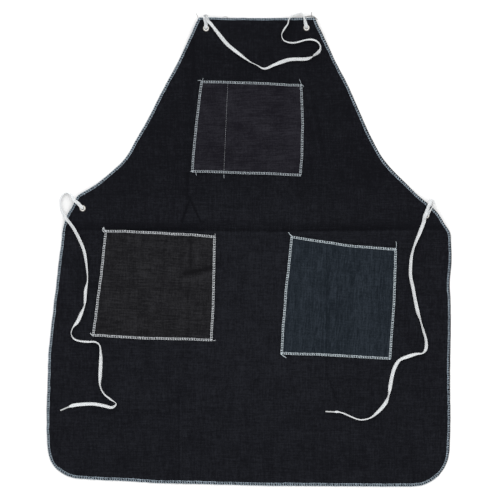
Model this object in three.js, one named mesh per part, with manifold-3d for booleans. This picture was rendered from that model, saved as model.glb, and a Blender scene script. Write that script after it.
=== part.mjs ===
// Denim bib apron, lying face up on a table.
// Millimetres, +Z up, +Y towards the top of the bib, origin under the middle of the cloth.

import * as THREE from "three";
import { mergeVertices } from "three/addons/utils/BufferGeometryUtils.js";
import Module from "manifold-3d";

const wasm = await Module();
wasm.setup();

// Driving sizes
const GAP = 0.3; // clear space between pieces that touch
const DENIM = 1.2; // thickness of the cloth
const TAPE_WIDTH = 6.4;
const TAPE_THICKNESS = 1;
const EYE_TAPE_WIDTH = 3.6; // the tape gathers to this width in an eyelet
const TIP_TAPE_WIDTH = 2; // and to this width where it goes into an aglet
const AGLET_RADIUS = 1.2;
const AGLET_LENGTH = 15.5;
const AGLET_SIDES = 10;
const KNOT_WIDTH = 11;
const KNOT_HEIGHT = 4.6;
const KNOT_CLEARANCE = 0.3; // lowest point of a knot above the table
const FLANGE_RADIUS = 5.7;
const BARREL_RADIUS = 3.2;
const EYE_RADIUS = 2.6; // the hole that a tape passes through
const FLANGE_THICKNESS = 0.6;
const FLANGE_CROWN = 0.9; // height of the rolled upper flange
const EYE_SIDES = 14;
const POCKET_BELLY = 1.6; // how far a pocket stands off the panel behind it

// Heights at an eyelet, from the table up
const KNOT_TOP = KNOT_CLEARANCE + KNOT_HEIGHT;
const WASHER_BOTTOM = KNOT_TOP + GAP;
const RAISED_CLOTH = WASHER_BOTTOM + FLANGE_THICKNESS + GAP;
const FLANGE_BOTTOM = RAISED_CLOTH + DENIM + GAP;
const FLANGE_TOP = FLANGE_BOTTOM + FLANGE_CROWN;

// The panel's edges, from the hem up: height up the apron, left edge, right edge
const SECTIONS = [
  { y: -343, left: -353.5, right: 351.5 },
  { y: -295, left: -355.5, right: 353.3 },
  { y: -225, left: -353.7, right: 352.4 },
  { y: -155, left: -350, right: 353.6 },
  { y: -84, left: -341.5, right: 353.6 },
  { y: -58, left: -338.5, right: 351.6 },
  { y: -14, left: -334, right: 355.3 },
  { y: 21, left: -328.8, right: 354 },
  { y: 37, left: -327.6, right: 351.8 },
  { y: 50, left: -324.2, right: 342.4 },
  { y: 66, left: -318.7, right: 332.6 },
  { y: 77, left: -312.3, right: 323.4 },
  { y: 86, left: -306.8, right: 312.8 },
  { y: 92, left: -305, right: 304.9 },
  { y: 97, left: -303.2, right: 299 },
  { y: 102, left: -297.7, right: 293.7 },
  { y: 109, left: -284.7, right: 286.8 },
  { y: 119, left: -268.4, right: 277 },
  { y: 126, left: -260.1, right: 270 },
  { y: 144, left: -238.4, right: 252 },
  { y: 161, left: -221, right: 237 },
  { y: 179, left: -208, right: 226 },
  { y: 197, left: -198.3, right: 216.2 },
  { y: 232, left: -178.3, right: 200 },
  { y: 267, left: -160.8, right: 184.9 },
  { y: 284, left: -152, right: 177.4 },
  { y: 302, left: -142.5, right: 168.8 },
  { y: 337, left: -123.2, right: 149.9 },
  { y: 362, left: -111, right: 138.8 },
  { y: 388, left: -99.2, right: 126 },
  { y: 411.2, left: -88.9, right: 115 },
];
const HEM_MIDDLE = new THREE.Vector2(-120, -412); // the hem dips slightly between its corners
const LEFT_CORNER = { radius: 53.6, x: -300, y: -343.4 };
const RIGHT_CORNER = { radius: 64, x: 287.5, y: -347.3 };

// Fold marks left in the cloth: a valley between two low ridges
const PANEL_FOLDS = [
  { mark: "waist", from: [-430, 38.5], to: [430, 38.5], height: 4, reach: 24 },
  { mark: "left bib", from: [-108, 32], to: [-108, 165], height: 2.6, reach: 14 },
  { mark: "right bib", from: [122, 130], to: [122, 290], height: 2, reach: 14 },
  { mark: "left skirt", from: [-123, -430], to: [-123, -180], height: 2, reach: 14 },
  { mark: "right skirt", from: [136, -290], to: [136, -180], height: 1.6, reach: 14 },
];
const FOLD_FADE = 0.18; // share of a fold's length over which it dies away at each end
const FOLD_REACHES = 4; // the cloth is level again this many reaches from a fold

// Pocket patches: corners of the cloth, and how far each side bows out
const POCKETS = [
  {
    name: "bib_pocket",
    color: 0x242329,
    corners: {
      topLeft: [-84.3, 300.4], topRight: [92.4, 294.2], bottomRight: [91, 134.3], bottomLeft: [-100.3, 140.9],
    },
    bow: { top: 0.7, right: 2.8, bottom: 0, left: 2.1 },
    puckers: [{ from: [62, 162], to: [88, 138], height: 1.5, reach: 8 }],
  },
  {
    name: "left_pocket",
    color: 0x1f1f21,
    corners: {
      topLeft: [-252.8, 38], topRight: [-59.7, 28.2], bottomRight: [-65, -155.6], bottomLeft: [-275.5, -147],
    },
    bow: { top: 1.8, right: 1, bottom: 0.9, left: -1 },
    puckers: [{ from: [-112, -39], to: [-64, -30], height: 2, reach: 9 }],
  },
  {
    name: "right_pocket",
    color: 0x2a3139,
    corners: {
      topLeft: [73.4, 28.2], topRight: [258.5, 6.7], bottomRight: [248, -187.9], bottomLeft: [55.2, -178.3],
    },
    bow: { top: -3, right: 1.6, bottom: -0.7, left: 0.9 },
    puckers: [],
  },
];

// Eyelets
const EYELETS = {
  bib_left: { x: -75.5, y: 392.5 },
  bib_right: { x: 100.5, y: 393.5 },
  waist_left: { x: -292, y: 77 },
  waist_right: { x: 310.5, y: 64.5 },
};
const EYE_FLAT_RADIUS = 13; // level cloth round an eyelet
const EYE_RISE_RADIUS = 75; // the cloth is back on the table at this distance

// Tapes: x, y, lean in degrees, lift above what is under it
// At lean 0 a tape lies flat, at 90 it stands on edge and at 180 it lies turned over
const NECK_ROUTE = [
  [-75.8, 402.5, 172, 2.4], [-77.4, 409, 162, 4], [-78, 413.4, 130, 5], [-75.2, 416, 100, 5],
  [-72.2, 414, 82, 5], [-73, 409.3, 55, 2], [-71.6, 404.8, 30, 0.4], [-67.2, 400.2, 28, 0.2],
  [-61.7, 393.3, 38, 0.2],
  [-47.8, 375.7, 8, 0], [-37.2, 363.8, 18, 0], [-19.4, 349.5, 34, 0], [0.8, 334.7, 73, 0],
  [12.8, 328.6, 81, 0], [27, 322.1, 57, 0], [45.3, 329.4, 37, 0], [61.2, 335.5, 5, 0],
  [75.1, 338.5, 24, 0], [99.1, 339, 24, 0], [109, 342, 64, 0], [114.3, 345.6, 118, 0],
  [121.8, 351.2, 140, 0], [125.2, 360, 108, 0], [120.5, 368.3, 113, 0], [110.8, 372.5, 122, 0],
  [99.1, 372, 115, 0], [85.1, 368.2, 116, 0], [73, 367.2, 115, 0], [61.3, 371.2, 108, 0],
  [57, 381, 91, 0], [61.4, 390.9, 66, 0], [67.5, 399.8, 72, 0], [69.8, 408.2, 75, 0.5],
  [76, 415, 70, 5], [84, 418.5, 72, 4], [91, 420, 78, 4], [94.8, 416.5, 80, 4],
  [97, 408.5, 55, 1.8],
];
const LEFT_ROUTE = [
  [-299.4, 85.5, 158, 0.5], [-306.6, 91.8, 150, 6], [-311.5, 99.5, 122, 3], [-318, 104.5, 110, 0.5],
  [-325.5, 102.5, 112, 0], [-331, 93, 118, 0], [-330.7, 80, 120, 0], [-327.2, 69, 130, 1],
  [-321, 60, 144, 5], [-307.2, 40.9, 148, 0], [-294, 14, 146, 0], [-288, -5, 138, 0],
  [-284.6, -30, 119, 0], [-283.6, -50, 105, 0], [-287, -67, 143, 0], [-287.9, -84, 135, 0],
  [-289.4, -95.1, 109, 0], [-294.8, -108.1, 150, 0], [-300.8, -121.1, 156, 0], [-309, -132, 105, 0],
  [-312.2, -142, 97, 0], [-308, -151, 75, 0], [-298, -155.5, 70, 0], [-283, -157, 64, 0],
  [-270, -157.3, 73, 0], [-262.2, -163.4, 80, 0], [-260.4, -177, 59, 0], [-260.4, -193, 28, 0],
  [-261.4, -216, 32, 0], [-261.3, -234, 75, 0], [-254.9, -247.9, 77, 0], [-243, -258, 73, 0],
  [-233.5, -265.4, 106, 0], [-241.1, -272.2, 131, 0], [-256, -269, 145, 0], [-275, -266.1, 144, 0],
  [-297, -267.1, 152, 0], [-308.9, -268.9, 163, 0],
];
const RIGHT_ROUTE = [
  [315.3, 70.7, 125, 1], [319.5, 76.5, 108, 4.6], [322.8, 81.8, 100, 5], [325, 86.8, 98, 2.5],
  [323.6, 91.2, 100, 2.5], [320.4, 92.4, 116, 5], [317.7, 88.3, 148, 6], [314.4, 80.5, 168, 3.8],
  [311.1, 71.5, 175, 3], [307.4, 62.2, 165, 2.6], [306, 53.1, 165, 0.6], [302.8, 44.1, 168, 0],
  [298, 32, 152, 0], [292.6, 19.1, 130, 0], [288, 6, 116, 0], [284.2, -12, 135, 0],
  [283.1, -40, 143, 0], [287.3, -62, 145, 0], [290.6, -80, 143, 0], [295.2, -102, 156, 0],
  [300.5, -120.1, 104, 0], [305.4, -137.1, 120, 0], [310, -153, 125, 0], [310.3, -168, 143, 0],
  [304.6, -176.7, 104, 0], [292.9, -178.6, 127, 0], [280, -182.5, 157, 0], [264.7, -188.7, 134, 0],
  [256.5, -200, 164, 0], [251, -216, 158, 0], [247.2, -237, 159, 0], [244.7, -250.9, 105, 0],
  [239, -265, 155, 0], [227, -279, 138, 0], [214, -289.5, 106, 0], [202, -293.5, 102, 0],
  [191, -293, 102, 0], [178, -288, 105, 0], [167, -283, 105, 0], [157.1, -280.1, 107, 0],
];
const STEPS_PER_POINT = 2;

// Aglets on the free ends: where the tie goes in, and the way the aglet points from there
const AGLETS = {
  left: { start: [-317.2, -271.6], heading: [-14.8, -6.4] },
  right: { start: [149.2, -280.2], heading: [-15.5, 0.8] },
};

// The grid that the cloth is faceted on: even lines, and closer ones at folds and eyelets
const GRID_STEP = 33;
const GRID_HALF = { x: 400, y: 450 };
const COLUMNS = gridLines(GRID_HALF.x, [
  -137, -123, -108, -94, 108, 122, 136, 150, -301, -283, -84.5, -66.5, 91.5, 109.5, 301.5, 319.5,
]);
const ROWS = gridLines(GRID_HALF.y, [
  14.5, 26.5, 38.5, 50.5, 62.5, 384, 402, 86, 73.5, 55.5, -30, -39,
]);

function gridLines(half, fixed) {
  const lines = [...fixed];
  for (let at = -half; at <= half; at += GRID_STEP) {
    const nearest = Math.min(...fixed.map((line) => Math.abs(line - at)));
    if (nearest > GRID_STEP / 3) lines.push(at);
  }
  return lines.sort((a, b) => a - b);
}

const smoothstep = THREE.MathUtils.smoothstep;

// Height of a fold mark at a place: nothing in the valley, a ridge on each side
function foldHeight(fold, x, y) {
  const start = new THREE.Vector2(...fold.from);
  const run = new THREE.Vector2(...fold.to).sub(start);
  const place = new THREE.Vector2(x, y).sub(start);
  const along = place.dot(run) / run.lengthSq();
  const off = Math.abs(place.cross(run)) / run.length() / fold.reach;
  const fade = smoothstep(along, 0, FOLD_FADE) * (1 - smoothstep(along, 1 - FOLD_FADE, 1));
  const ridge = off * Math.exp(1 - off) * (1 - smoothstep(off, 2, FOLD_REACHES));
  return fold.height * fade * ridge;
}

// Height of a pucker at a place: one ridge that dies away all round
function puckerHeight(pucker, x, y) {
  const line = new THREE.Line3(new THREE.Vector3(...pucker.from, 0), new THREE.Vector3(...pucker.to, 0));
  const place = new THREE.Vector3(x, y, 0);
  const off = line.closestPointToPoint(place, true, new THREE.Vector3()).distanceTo(place) / pucker.reach;
  return pucker.height * Math.exp(-off * off);
}

// Underside of the panel above the table
function panelUnder(x, y) {
  let height = 0;
  for (const eyelet of Object.values(EYELETS)) {
    const distance = Math.hypot(x - eyelet.x, y - eyelet.y);
    const raise = RAISED_CLOTH * (1 - smoothstep(distance, EYE_FLAT_RADIUS, EYE_RISE_RADIUS));
    height = Math.max(height, raise);
  }
  for (const fold of PANEL_FOLDS) {
    const level = 1 - height / RAISED_CLOTH; // folds are pulled flat at the eyelets
    height += level * foldHeight(fold, x, y);
  }
  return height;
}

// The panel's faceted upper side, between the grid lines
function panelTop(x, y) {
  const i = COLUMNS.findLastIndex((line) => line <= x);
  const j = ROWS.findLastIndex((line) => line <= y);
  const u = (x - COLUMNS[i]) / (COLUMNS[i + 1] - COLUMNS[i]);
  const v = (y - ROWS[j]) / (ROWS[j + 1] - ROWS[j]);
  const height = (di, dj) => panelUnder(COLUMNS[i + di], ROWS[j + dj]);
  const diagonal = height(0, 0) * (1 - Math.max(u, v)) + height(1, 1) * Math.min(u, v);
  const corner = u > v ? height(1, 0) * (u - v) : height(0, 1) * (v - u);
  return DENIM + diagonal + corner;
}

// Outlines

function panelOutline() {
  const first = SECTIONS[0];
  const last = SECTIONS.at(-1);
  const outline = new THREE.Shape();
  outline.moveTo(LEFT_CORNER.x, LEFT_CORNER.y - LEFT_CORNER.radius);
  outline.quadraticCurveTo(
    HEM_MIDDLE.x, HEM_MIDDLE.y, RIGHT_CORNER.x, RIGHT_CORNER.y - RIGHT_CORNER.radius);
  outline.absarc(RIGHT_CORNER.x, RIGHT_CORNER.y, RIGHT_CORNER.radius, -Math.PI / 2, 0);
  outline.lineTo(first.right, first.y);
  outline.splineThru(SECTIONS.slice(1).map(({ right, y }) => new THREE.Vector2(right, y)));
  outline.lineTo(last.left, last.y);
  outline.splineThru(SECTIONS.toReversed().slice(1).map(({ left, y }) => new THREE.Vector2(left, y)));
  outline.absarc(LEFT_CORNER.x, LEFT_CORNER.y, LEFT_CORNER.radius, Math.PI, Math.PI * 1.5);
  return outline;
}

// A side of a pocket, bowed out by the given amount
function bowedTo(outline, from, to, bow) {
  const start = new THREE.Vector2(...from);
  const end = new THREE.Vector2(...to);
  const across = end.clone().sub(start).rotateAround(new THREE.Vector2(), Math.PI / 2).normalize();
  const control = start.clone().add(end).multiplyScalar(0.5).addScaledVector(across, 2 * bow);
  outline.quadraticCurveTo(control.x, control.y, end.x, end.y);
}

function pocketOutline({ corners, bow }) {
  const outline = new THREE.Shape();
  outline.moveTo(...corners.topLeft);
  bowedTo(outline, corners.topLeft, corners.topRight, bow.top);
  bowedTo(outline, corners.topRight, corners.bottomRight, bow.right);
  bowedTo(outline, corners.bottomRight, corners.bottomLeft, bow.bottom);
  bowedTo(outline, corners.bottomLeft, corners.topLeft, bow.left);
  return outline;
}

// Cloth: a slab that follows a height over the grid, cut to its outline

function toSolid(geometry) {
  const bare = geometry.clone();
  bare.deleteAttribute("normal");
  bare.deleteAttribute("uv");
  const merged = mergeVertices(bare);
  const mesh = new wasm.Mesh({
    numProp: 3,
    vertProperties: new Float32Array(merged.attributes.position.array),
    triVerts: new Uint32Array(merged.index.array),
  });
  return new wasm.Manifold(mesh);
}

function toGeometry(solid) {
  const mesh = solid.getMesh();
  const geometry = new THREE.BufferGeometry();
  geometry.setAttribute("position", new THREE.BufferAttribute(mesh.vertProperties, 3));
  geometry.setIndex(new THREE.BufferAttribute(mesh.triVerts, 1));
  geometry.computeVertexNormals();
  return geometry;
}

function slabGeometry(under, thickness) {
  const across = COLUMNS.length;
  const layer = across * ROWS.length;
  const positions = [];
  for (const lift of [0, thickness]) {
    for (const y of ROWS) {
      for (const x of COLUMNS) positions.push(x, y, under(x, y) + lift);
    }
  }
  const faces = [];
  for (let j = 0; j + 1 < ROWS.length; j += 1) {
    for (let i = 0; i + 1 < across; i += 1) {
      const a = j * across + i;
      const [b, c, d] = [a + 1, a + across + 1, a + across];
      faces.push(a, c, b, a, d, c);
      faces.push(layer + a, layer + b, layer + c, layer + a, layer + c, layer + d);
    }
  }
  const wall = (a, b) => faces.push(a, b, layer + b, a, layer + b, layer + a);
  const lastRow = layer - across;
  for (let i = 0; i + 1 < across; i += 1) {
    wall(i, i + 1);
    wall(lastRow + i + 1, lastRow + i);
  }
  for (let at = 0; at < lastRow; at += across) {
    wall(at + across, at);
    wall(at + across - 1, at + 2 * across - 1);
  }
  const geometry = new THREE.BufferGeometry();
  geometry.setAttribute("position", new THREE.Float32BufferAttribute(positions, 3));
  geometry.setIndex(faces);
  return geometry;
}

function clothGeometry(outline, under, curveSegments) {
  const depth = 4 * RAISED_CLOTH;
  const cutter = new THREE.ExtrudeGeometry(outline, { depth, bevelEnabled: false, curveSegments });
  cutter.translate(0, 0, -RAISED_CLOTH);
  return toGeometry(toSolid(slabGeometry(under, DENIM)).intersect(toSolid(cutter)));
}

function bodyPanel() {
  const outline = panelOutline();
  for (const eyelet of Object.values(EYELETS)) {
    const radius = BARREL_RADIUS + GAP;
    const circle = new THREE.EllipseCurve(eyelet.x, eyelet.y, radius, radius, 0, Math.PI * 2, true);
    outline.holes.push(new THREE.Path(circle.getPoints(EYE_SIDES)));
  }
  return clothGeometry(outline, panelUnder, 3);
}

// Underside of a pocket: it lies on the panel round its sides and hem, and stands off it in the middle
function pocketUnder({ corners, puckers }, x, y) {
  const centreX = (corners.topLeft[0] + corners.bottomRight[0]) / 2;
  const hemY = Math.min(corners.bottomLeft[1], corners.bottomRight[1]);
  const halfWidth = (corners.topRight[0] - corners.topLeft[0]) / 2;
  const height = corners.topLeft[1] - hemY;
  const sideways = 1 - smoothstep(Math.abs(x - centreX), 0, halfWidth);
  const upward = smoothstep(y - hemY, 0, height / 2);
  const ruck = puckers.reduce((sum, pucker) => sum + puckerHeight(pucker, x, y), 0);
  return panelUnder(x, y) + DENIM + GAP + POCKET_BELLY * sideways * upward + ruck;
}

// Eyelets and the knots behind them

function eyeletGeometry() {
  const profile = [
    [EYE_RADIUS, WASHER_BOTTOM + 0.2],
    [EYE_RADIUS + 0.3, WASHER_BOTTOM],
    [FLANGE_RADIUS, WASHER_BOTTOM],
    [FLANGE_RADIUS, WASHER_BOTTOM + FLANGE_THICKNESS],
    [BARREL_RADIUS, WASHER_BOTTOM + FLANGE_THICKNESS],
    [BARREL_RADIUS, FLANGE_BOTTOM],
    [FLANGE_RADIUS, FLANGE_BOTTOM],
    [FLANGE_RADIUS - 0.4, FLANGE_BOTTOM + 0.6],
    [EYE_RADIUS + 1.4, FLANGE_TOP],
    [EYE_RADIUS + 0.5, FLANGE_TOP - 0.2],
    [EYE_RADIUS, FLANGE_BOTTOM],
    [EYE_RADIUS, WASHER_BOTTOM + 0.2],
  ];
  return new THREE.LatheGeometry(profile.map(([radius, z]) => new THREE.Vector2(radius, z)), EYE_SIDES)
    .rotateX(Math.PI / 2);
}

function knotGeometry() {
  return new THREE.SphereGeometry(0.5, 10, 6)
    .rotateX(Math.PI / 2)
    .scale(KNOT_WIDTH, KNOT_WIDTH, KNOT_HEIGHT)
    .translate(0, 0, KNOT_CLEARANCE + KNOT_HEIGHT / 2);
}

// Tapes

const PANEL_POINTS = panelOutline().getPoints(3);

function overPanel(x, y) {
  let within = false;
  PANEL_POINTS.forEach((point, index) => {
    const before = PANEL_POINTS.at(index - 1);
    const spans = point.y > y !== before.y > y;
    const crossing = point.x + ((y - point.y) * (before.x - point.x)) / (before.y - point.y);
    if (spans && x < crossing) within = !within;
  });
  return within;
}

// Height of what lies under a tape
function restHeight(x, y) {
  for (const eyelet of Object.values(EYELETS)) {
    const distance = Math.hypot(x - eyelet.x, y - eyelet.y);
    if (distance < EYE_RADIUS) return 0;
    if (distance < FLANGE_RADIUS + GAP) return FLANGE_TOP;
  }
  return overPanel(x, y) ? panelTop(x, y) : 0;
}

// The nearest lean, in radians, at which a tape lies flat on one of its sides
function laidFlat(leanDegrees) {
  return Math.PI * Math.round(leanDegrees / 180);
}

// The tape's way out of an eyelet: up through the hole, then over the flange towards the next point
function eyePoints(eyelet, towards) {
  const heading = new THREE.Vector2(towards[0] - eyelet.x, towards[1] - eyelet.y).normalize();
  const steps = [
    { out: 0, z: KNOT_TOP + GAP },
    { out: 0.2, z: FLANGE_BOTTOM },
    { out: 1.2, z: FLANGE_TOP + 1.4 },
    { out: 4.5, z: FLANGE_TOP + 1.8 },
  ];
  return steps.map(({ out, z }) => ({
    place: new THREE.Vector3(eyelet.x + heading.x * out, eyelet.y + heading.y * out, z),
    lean: laidFlat(towards[2]),
    width: EYE_TAPE_WIDTH,
  }));
}

function routePoints(route) {
  return route.map(([x, y, leanDegrees, lift]) => {
    const lean = THREE.MathUtils.degToRad(leanDegrees);
    const rise = (TAPE_WIDTH / 2) * Math.sin(lean) + (TAPE_THICKNESS / 2) * Math.abs(Math.cos(lean));
    return { place: new THREE.Vector3(x, y, restHeight(x, y) + GAP + rise + lift), lean, width: TAPE_WIDTH };
  });
}

// Middle of an aglet's end nearest its tie, at the height where the whole aglet clears the cloth
function agletStart({ start, heading }) {
  const way = new THREE.Vector2(...heading).setLength(AGLET_LENGTH);
  const heights = [0, 0.5, 1].map((share) => restHeight(start[0] + share * way.x, start[1] + share * way.y));
  return new THREE.Vector3(...start, Math.max(...heights) + GAP + AGLET_RADIUS);
}

function agletGeometry(aglet) {
  const way = new THREE.Vector3(...aglet.heading, 0).normalize();
  const turn = new THREE.Quaternion().setFromUnitVectors(new THREE.Vector3(0, 1, 0), way);
  const middle = agletStart(aglet).addScaledVector(way, GAP + AGLET_LENGTH / 2);
  return new THREE.CylinderGeometry(AGLET_RADIUS, AGLET_RADIUS, AGLET_LENGTH, AGLET_SIDES)
    .applyQuaternion(turn)
    .translate(middle.x, middle.y, middle.z);
}

// Directions across and out of a tape at a point on it, leaning from flat
function tapeFrame(tangent, before, lean) {
  const up = new THREE.Vector3(0, 0, 1);
  const across = new THREE.Vector3().crossVectors(tangent, up);
  if (across.length() < 0.4) across.copy(before).addScaledVector(tangent, -before.dot(tangent));
  across.normalize();
  if (across.dot(before) < 0) across.negate();
  const flat = across.clone();
  const out = new THREE.Vector3().crossVectors(across, tangent).normalize();
  if (out.z < 0) out.negate();
  across.multiplyScalar(Math.cos(lean)).addScaledVector(out, Math.sin(lean));
  return { flat, across, out: new THREE.Vector3().crossVectors(across, tangent).normalize() };
}

// Flat eight-sided section: shares of the half width and of the half thickness
const TAPE_SECTION = [
  [1, -0.4], [1, 0.4], [0.88, 1], [-0.88, 1], [-1, 0.4], [-1, -0.4], [-0.88, -1], [0.88, -1],
];

function tapeGeometry(points) {
  const curve = new THREE.CatmullRomCurve3(points.map((point) => point.place));
  const leansAndWidths = points.map(({ lean, width }) => new THREE.Vector3(lean, width, 0));
  const shape = new THREE.CatmullRomCurve3(leansAndWidths);
  const first = curve.getPoint(0.12).sub(curve.getPoint(0)).setZ(0).normalize();
  let flat = new THREE.Vector3(first.y, -first.x, 0);
  const steps = (points.length - 1) * STEPS_PER_POINT;
  const positions = [];
  for (let step = 0; step <= steps; step += 1) {
    const at = step / steps;
    const middle = curve.getPoint(at);
    const { x: lean, y: width } = shape.getPoint(at);
    const frame = tapeFrame(curve.getTangent(at), flat, lean);
    flat = frame.flat;
    const edge = frame.across.clone().multiplyScalar(width / 2);
    const face = frame.out.clone().multiplyScalar(TAPE_THICKNESS / 2);
    const rest = Math.max(...[-1, 0, 1].map((side) =>
      restHeight(middle.x + side * edge.x, middle.y + side * edge.y)));
    middle.z = Math.max(middle.z, rest + GAP + Math.abs(edge.z) + Math.abs(face.z));
    for (const [across, out] of TAPE_SECTION) {
      const point = middle.clone().addScaledVector(edge, across).addScaledVector(face, out);
      positions.push(point.x, point.y, point.z);
    }
  }
  const sides = TAPE_SECTION.length;
  const faces = [];
  for (let step = 0; step < steps; step += 1) {
    for (let side = 0; side < sides; side += 1) {
      const a = step * sides + side;
      const b = step * sides + ((side + 1) % sides);
      faces.push(a, b + sides, b, a, a + sides, b + sides);
    }
  }
  for (let side = 1; side + 1 < sides; side += 1) {
    const end = steps * sides;
    faces.push(0, side, side + 1, end, end + side + 1, end + side);
  }
  const geometry = new THREE.BufferGeometry();
  geometry.setAttribute("position", new THREE.Float32BufferAttribute(positions, 3));
  geometry.setIndex(faces);
  geometry.computeVertexNormals();
  return geometry;
}

// The neck tape, from one eyelet into another
function neckTape(start, route, end) {
  const last = eyePoints(end, route.at(-1)).reverse();
  return tapeGeometry([...eyePoints(start, route[0]), ...routePoints(route), ...last]);
}

// A waist tie, from its eyelet to its aglet
function waistTie(start, route, aglet) {
  const last = { place: agletStart(aglet), lean: laidFlat(route.at(-1)[2]), width: TIP_TAPE_WIDTH };
  return tapeGeometry([...eyePoints(start, route[0]), ...routePoints(route), last]);
}

// Assembly

const denim = new THREE.MeshStandardMaterial({ color: 0x1e1f24, roughness: 0.95, metalness: 0 });
const cotton = new THREE.MeshStandardMaterial({ color: 0xe6e8e5, roughness: 0.9, metalness: 0 });
const nickel = new THREE.MeshStandardMaterial({ color: 0xc9ccce, roughness: 0.3, metalness: 1 });
const plastic = new THREE.MeshStandardMaterial({ color: 0xd2d4d2, roughness: 0.35, metalness: 0 });

const apron = new THREE.Group();

function addPiece(name, geometry, material) {
  const piece = new THREE.Mesh(geometry, material);
  piece.name = name;
  apron.add(piece);
  return piece;
}

addPiece("body_panel", bodyPanel(), denim);

for (const pocket of POCKETS) {
  const cloth = denim.clone();
  cloth.color.setHex(pocket.color);
  const under = (x, y) => pocketUnder(pocket, x, y);
  addPiece(pocket.name, clothGeometry(pocketOutline(pocket), under, 6), cloth);
}

for (const [place, { x, y }] of Object.entries(EYELETS)) {
  addPiece(`grommet_${place}`, eyeletGeometry(), nickel).position.set(x, y, 0);
  addPiece(`knot_${place}`, knotGeometry(), cotton).position.set(x, y, 0);
}

addPiece("neck_tape", neckTape(EYELETS.bib_left, NECK_ROUTE, EYELETS.bib_right), cotton);
addPiece("waist_tie_left", waistTie(EYELETS.waist_left, LEFT_ROUTE, AGLETS.left), cotton);
addPiece("waist_tie_right", waistTie(EYELETS.waist_right, RIGHT_ROUTE, AGLETS.right), cotton);
addPiece("aglet_left", agletGeometry(AGLETS.left), plastic);
addPiece("aglet_right", agletGeometry(AGLETS.right), plastic);

export default apron;
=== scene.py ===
# Dark denim bib apron lying face up on a pale table. Object frame: +X to the right, +Y
# towards the top of the bib, +Z up out of the cloth. Named lengths and tables are in
# millimetres, unless a comment says metres.

import math

import bmesh
import bpy
import numpy as np
from mathutils import Matrix, Vector, noise


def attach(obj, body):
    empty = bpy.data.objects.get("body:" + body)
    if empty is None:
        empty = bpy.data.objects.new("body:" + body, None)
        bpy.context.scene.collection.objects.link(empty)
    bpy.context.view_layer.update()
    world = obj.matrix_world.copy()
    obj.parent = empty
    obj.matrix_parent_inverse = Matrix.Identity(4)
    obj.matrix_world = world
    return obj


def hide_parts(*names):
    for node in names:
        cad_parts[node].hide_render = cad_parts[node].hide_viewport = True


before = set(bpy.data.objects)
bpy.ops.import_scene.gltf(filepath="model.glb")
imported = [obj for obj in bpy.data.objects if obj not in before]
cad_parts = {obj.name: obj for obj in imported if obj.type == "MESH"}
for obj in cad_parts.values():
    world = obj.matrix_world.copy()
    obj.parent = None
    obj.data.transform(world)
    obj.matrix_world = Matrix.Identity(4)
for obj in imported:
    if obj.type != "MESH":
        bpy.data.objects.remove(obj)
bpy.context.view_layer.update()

MM = 0.001

# Camera and light
PHOTO_SIDE = 878  # how much of the table the square picture takes in
PHOTO_CENTRE = (1.5, 4)
CAMERA_HEIGHT = 4  # metres
KEY_DIRECTION = Vector((0.1, 0.75, 0.65))  # from the cloth towards the key light
KEY_STRENGTH = 1.8
KEY_SPREAD = 100  # degrees
SKY_STRENGTH = 1.05
SENSOR_WIDTH = 36
TABLE_WHITE = 0.82
TABLE_HALF_SIDE = 4  # metres

# Cloth
DENIM = 0.8
CLOTH_LIFT = 0.35  # room under the cloth for the thread on its edge
POCKET_GAP = 0.2
POCKET_BELLY = 1.6  # how far a pocket stands off the panel behind it
PANEL_SWELL = 0.45  # the panel's ripples go up and down from this height
# Ripples of the cloth: height, size across, and the seed of the pattern
PANEL_RIPPLES = ((0.3, 46, 1.5), (0.15, 17, 4.5))
POCKET_RIPPLE = (0.25, 24, 8.5)

# Eyelets
FLANGE_RADIUS = 5.7
EYE_RADIUS = 2.6
BARREL_RADIUS = 3.2
WASHER_BOTTOM = 5.2
WASHER_TOP = 5.8
FLANGE_BOTTOM = 7.6
FLANGE_TOP = 8.5
RAISED_CLOTH = 6.1  # how far the cloth is raised at an eyelet
EYE_FLAT_RADIUS = 13  # level cloth round an eyelet
EYE_RISE_RADIUS = 75  # the cloth is back on the table at this distance
EYELETS = {
    "bib_left": (-75.5, 392.5),
    "bib_right": (100.5, 393.5),
    "waist_left": (-292, 77),
    "waist_right": (310.5, 64.5),
}

# Laces and their tips
LACE_WIDTH = 6.4
LACE_THICKNESS = 1
LACE_GATHER = 2  # extra thickness where a lace is drawn together
TIP_LACE_WIDTH = 2
KNOT_MIDDLE = 2.6
KNOT_TOP = 4.9
TIP_RADIUS = 1.2
TIP_LENGTH = 15.5


def smoothstep(value, low, high):
    share = np.clip((value - low) / (high - low), 0, 1)
    return share * share * (3 - 2 * share)


# Shape of the cloth

# Fold marks: a valley between two low ridges, on the left hand and on the right going along it
WAIST_FOLD = ((-430, 38.5), (430, 38.5), (4.8, 1.4), (18, 3.6))
WAIST_SAG = {"middle": 10, "half_width": 70, "depth": 3}
PANEL_FOLDS = [
    # from, to, heights of the ridges, distances from the valley to the ridges
    ((-109, 60), (-108, 165), (1.8, 1.6), (8, 8)),
    ((-101.5, 97), (-120, 46), (1.5, 1.5), (5, 5)),
    ((-106, 97), (-84, 46), (1.5, 1.5), (5, 5)),
    ((-98, 292), (-97, 378), (0.9, 0.9), (8, 8)),
    ((108, 292), (135, 142), (1.5, 1.3), (9, 9)),
    ((-123, -180), (-122, -430), (1.4, 1.2), (8, 6)),
    ((134, -165), (138, -225), (1, 1), (7, 7)),
    ((136, -205), (158, -275), (1, 1), (7, 7)),
]
FOLD_FADE = 0.18  # share of a fold's length over which it dies away at each end
FOLD_LEVELS = 2  # in reaches from the valley, where a ridge begins to level out
FOLD_REACHES = 4  # and where it is level

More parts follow.
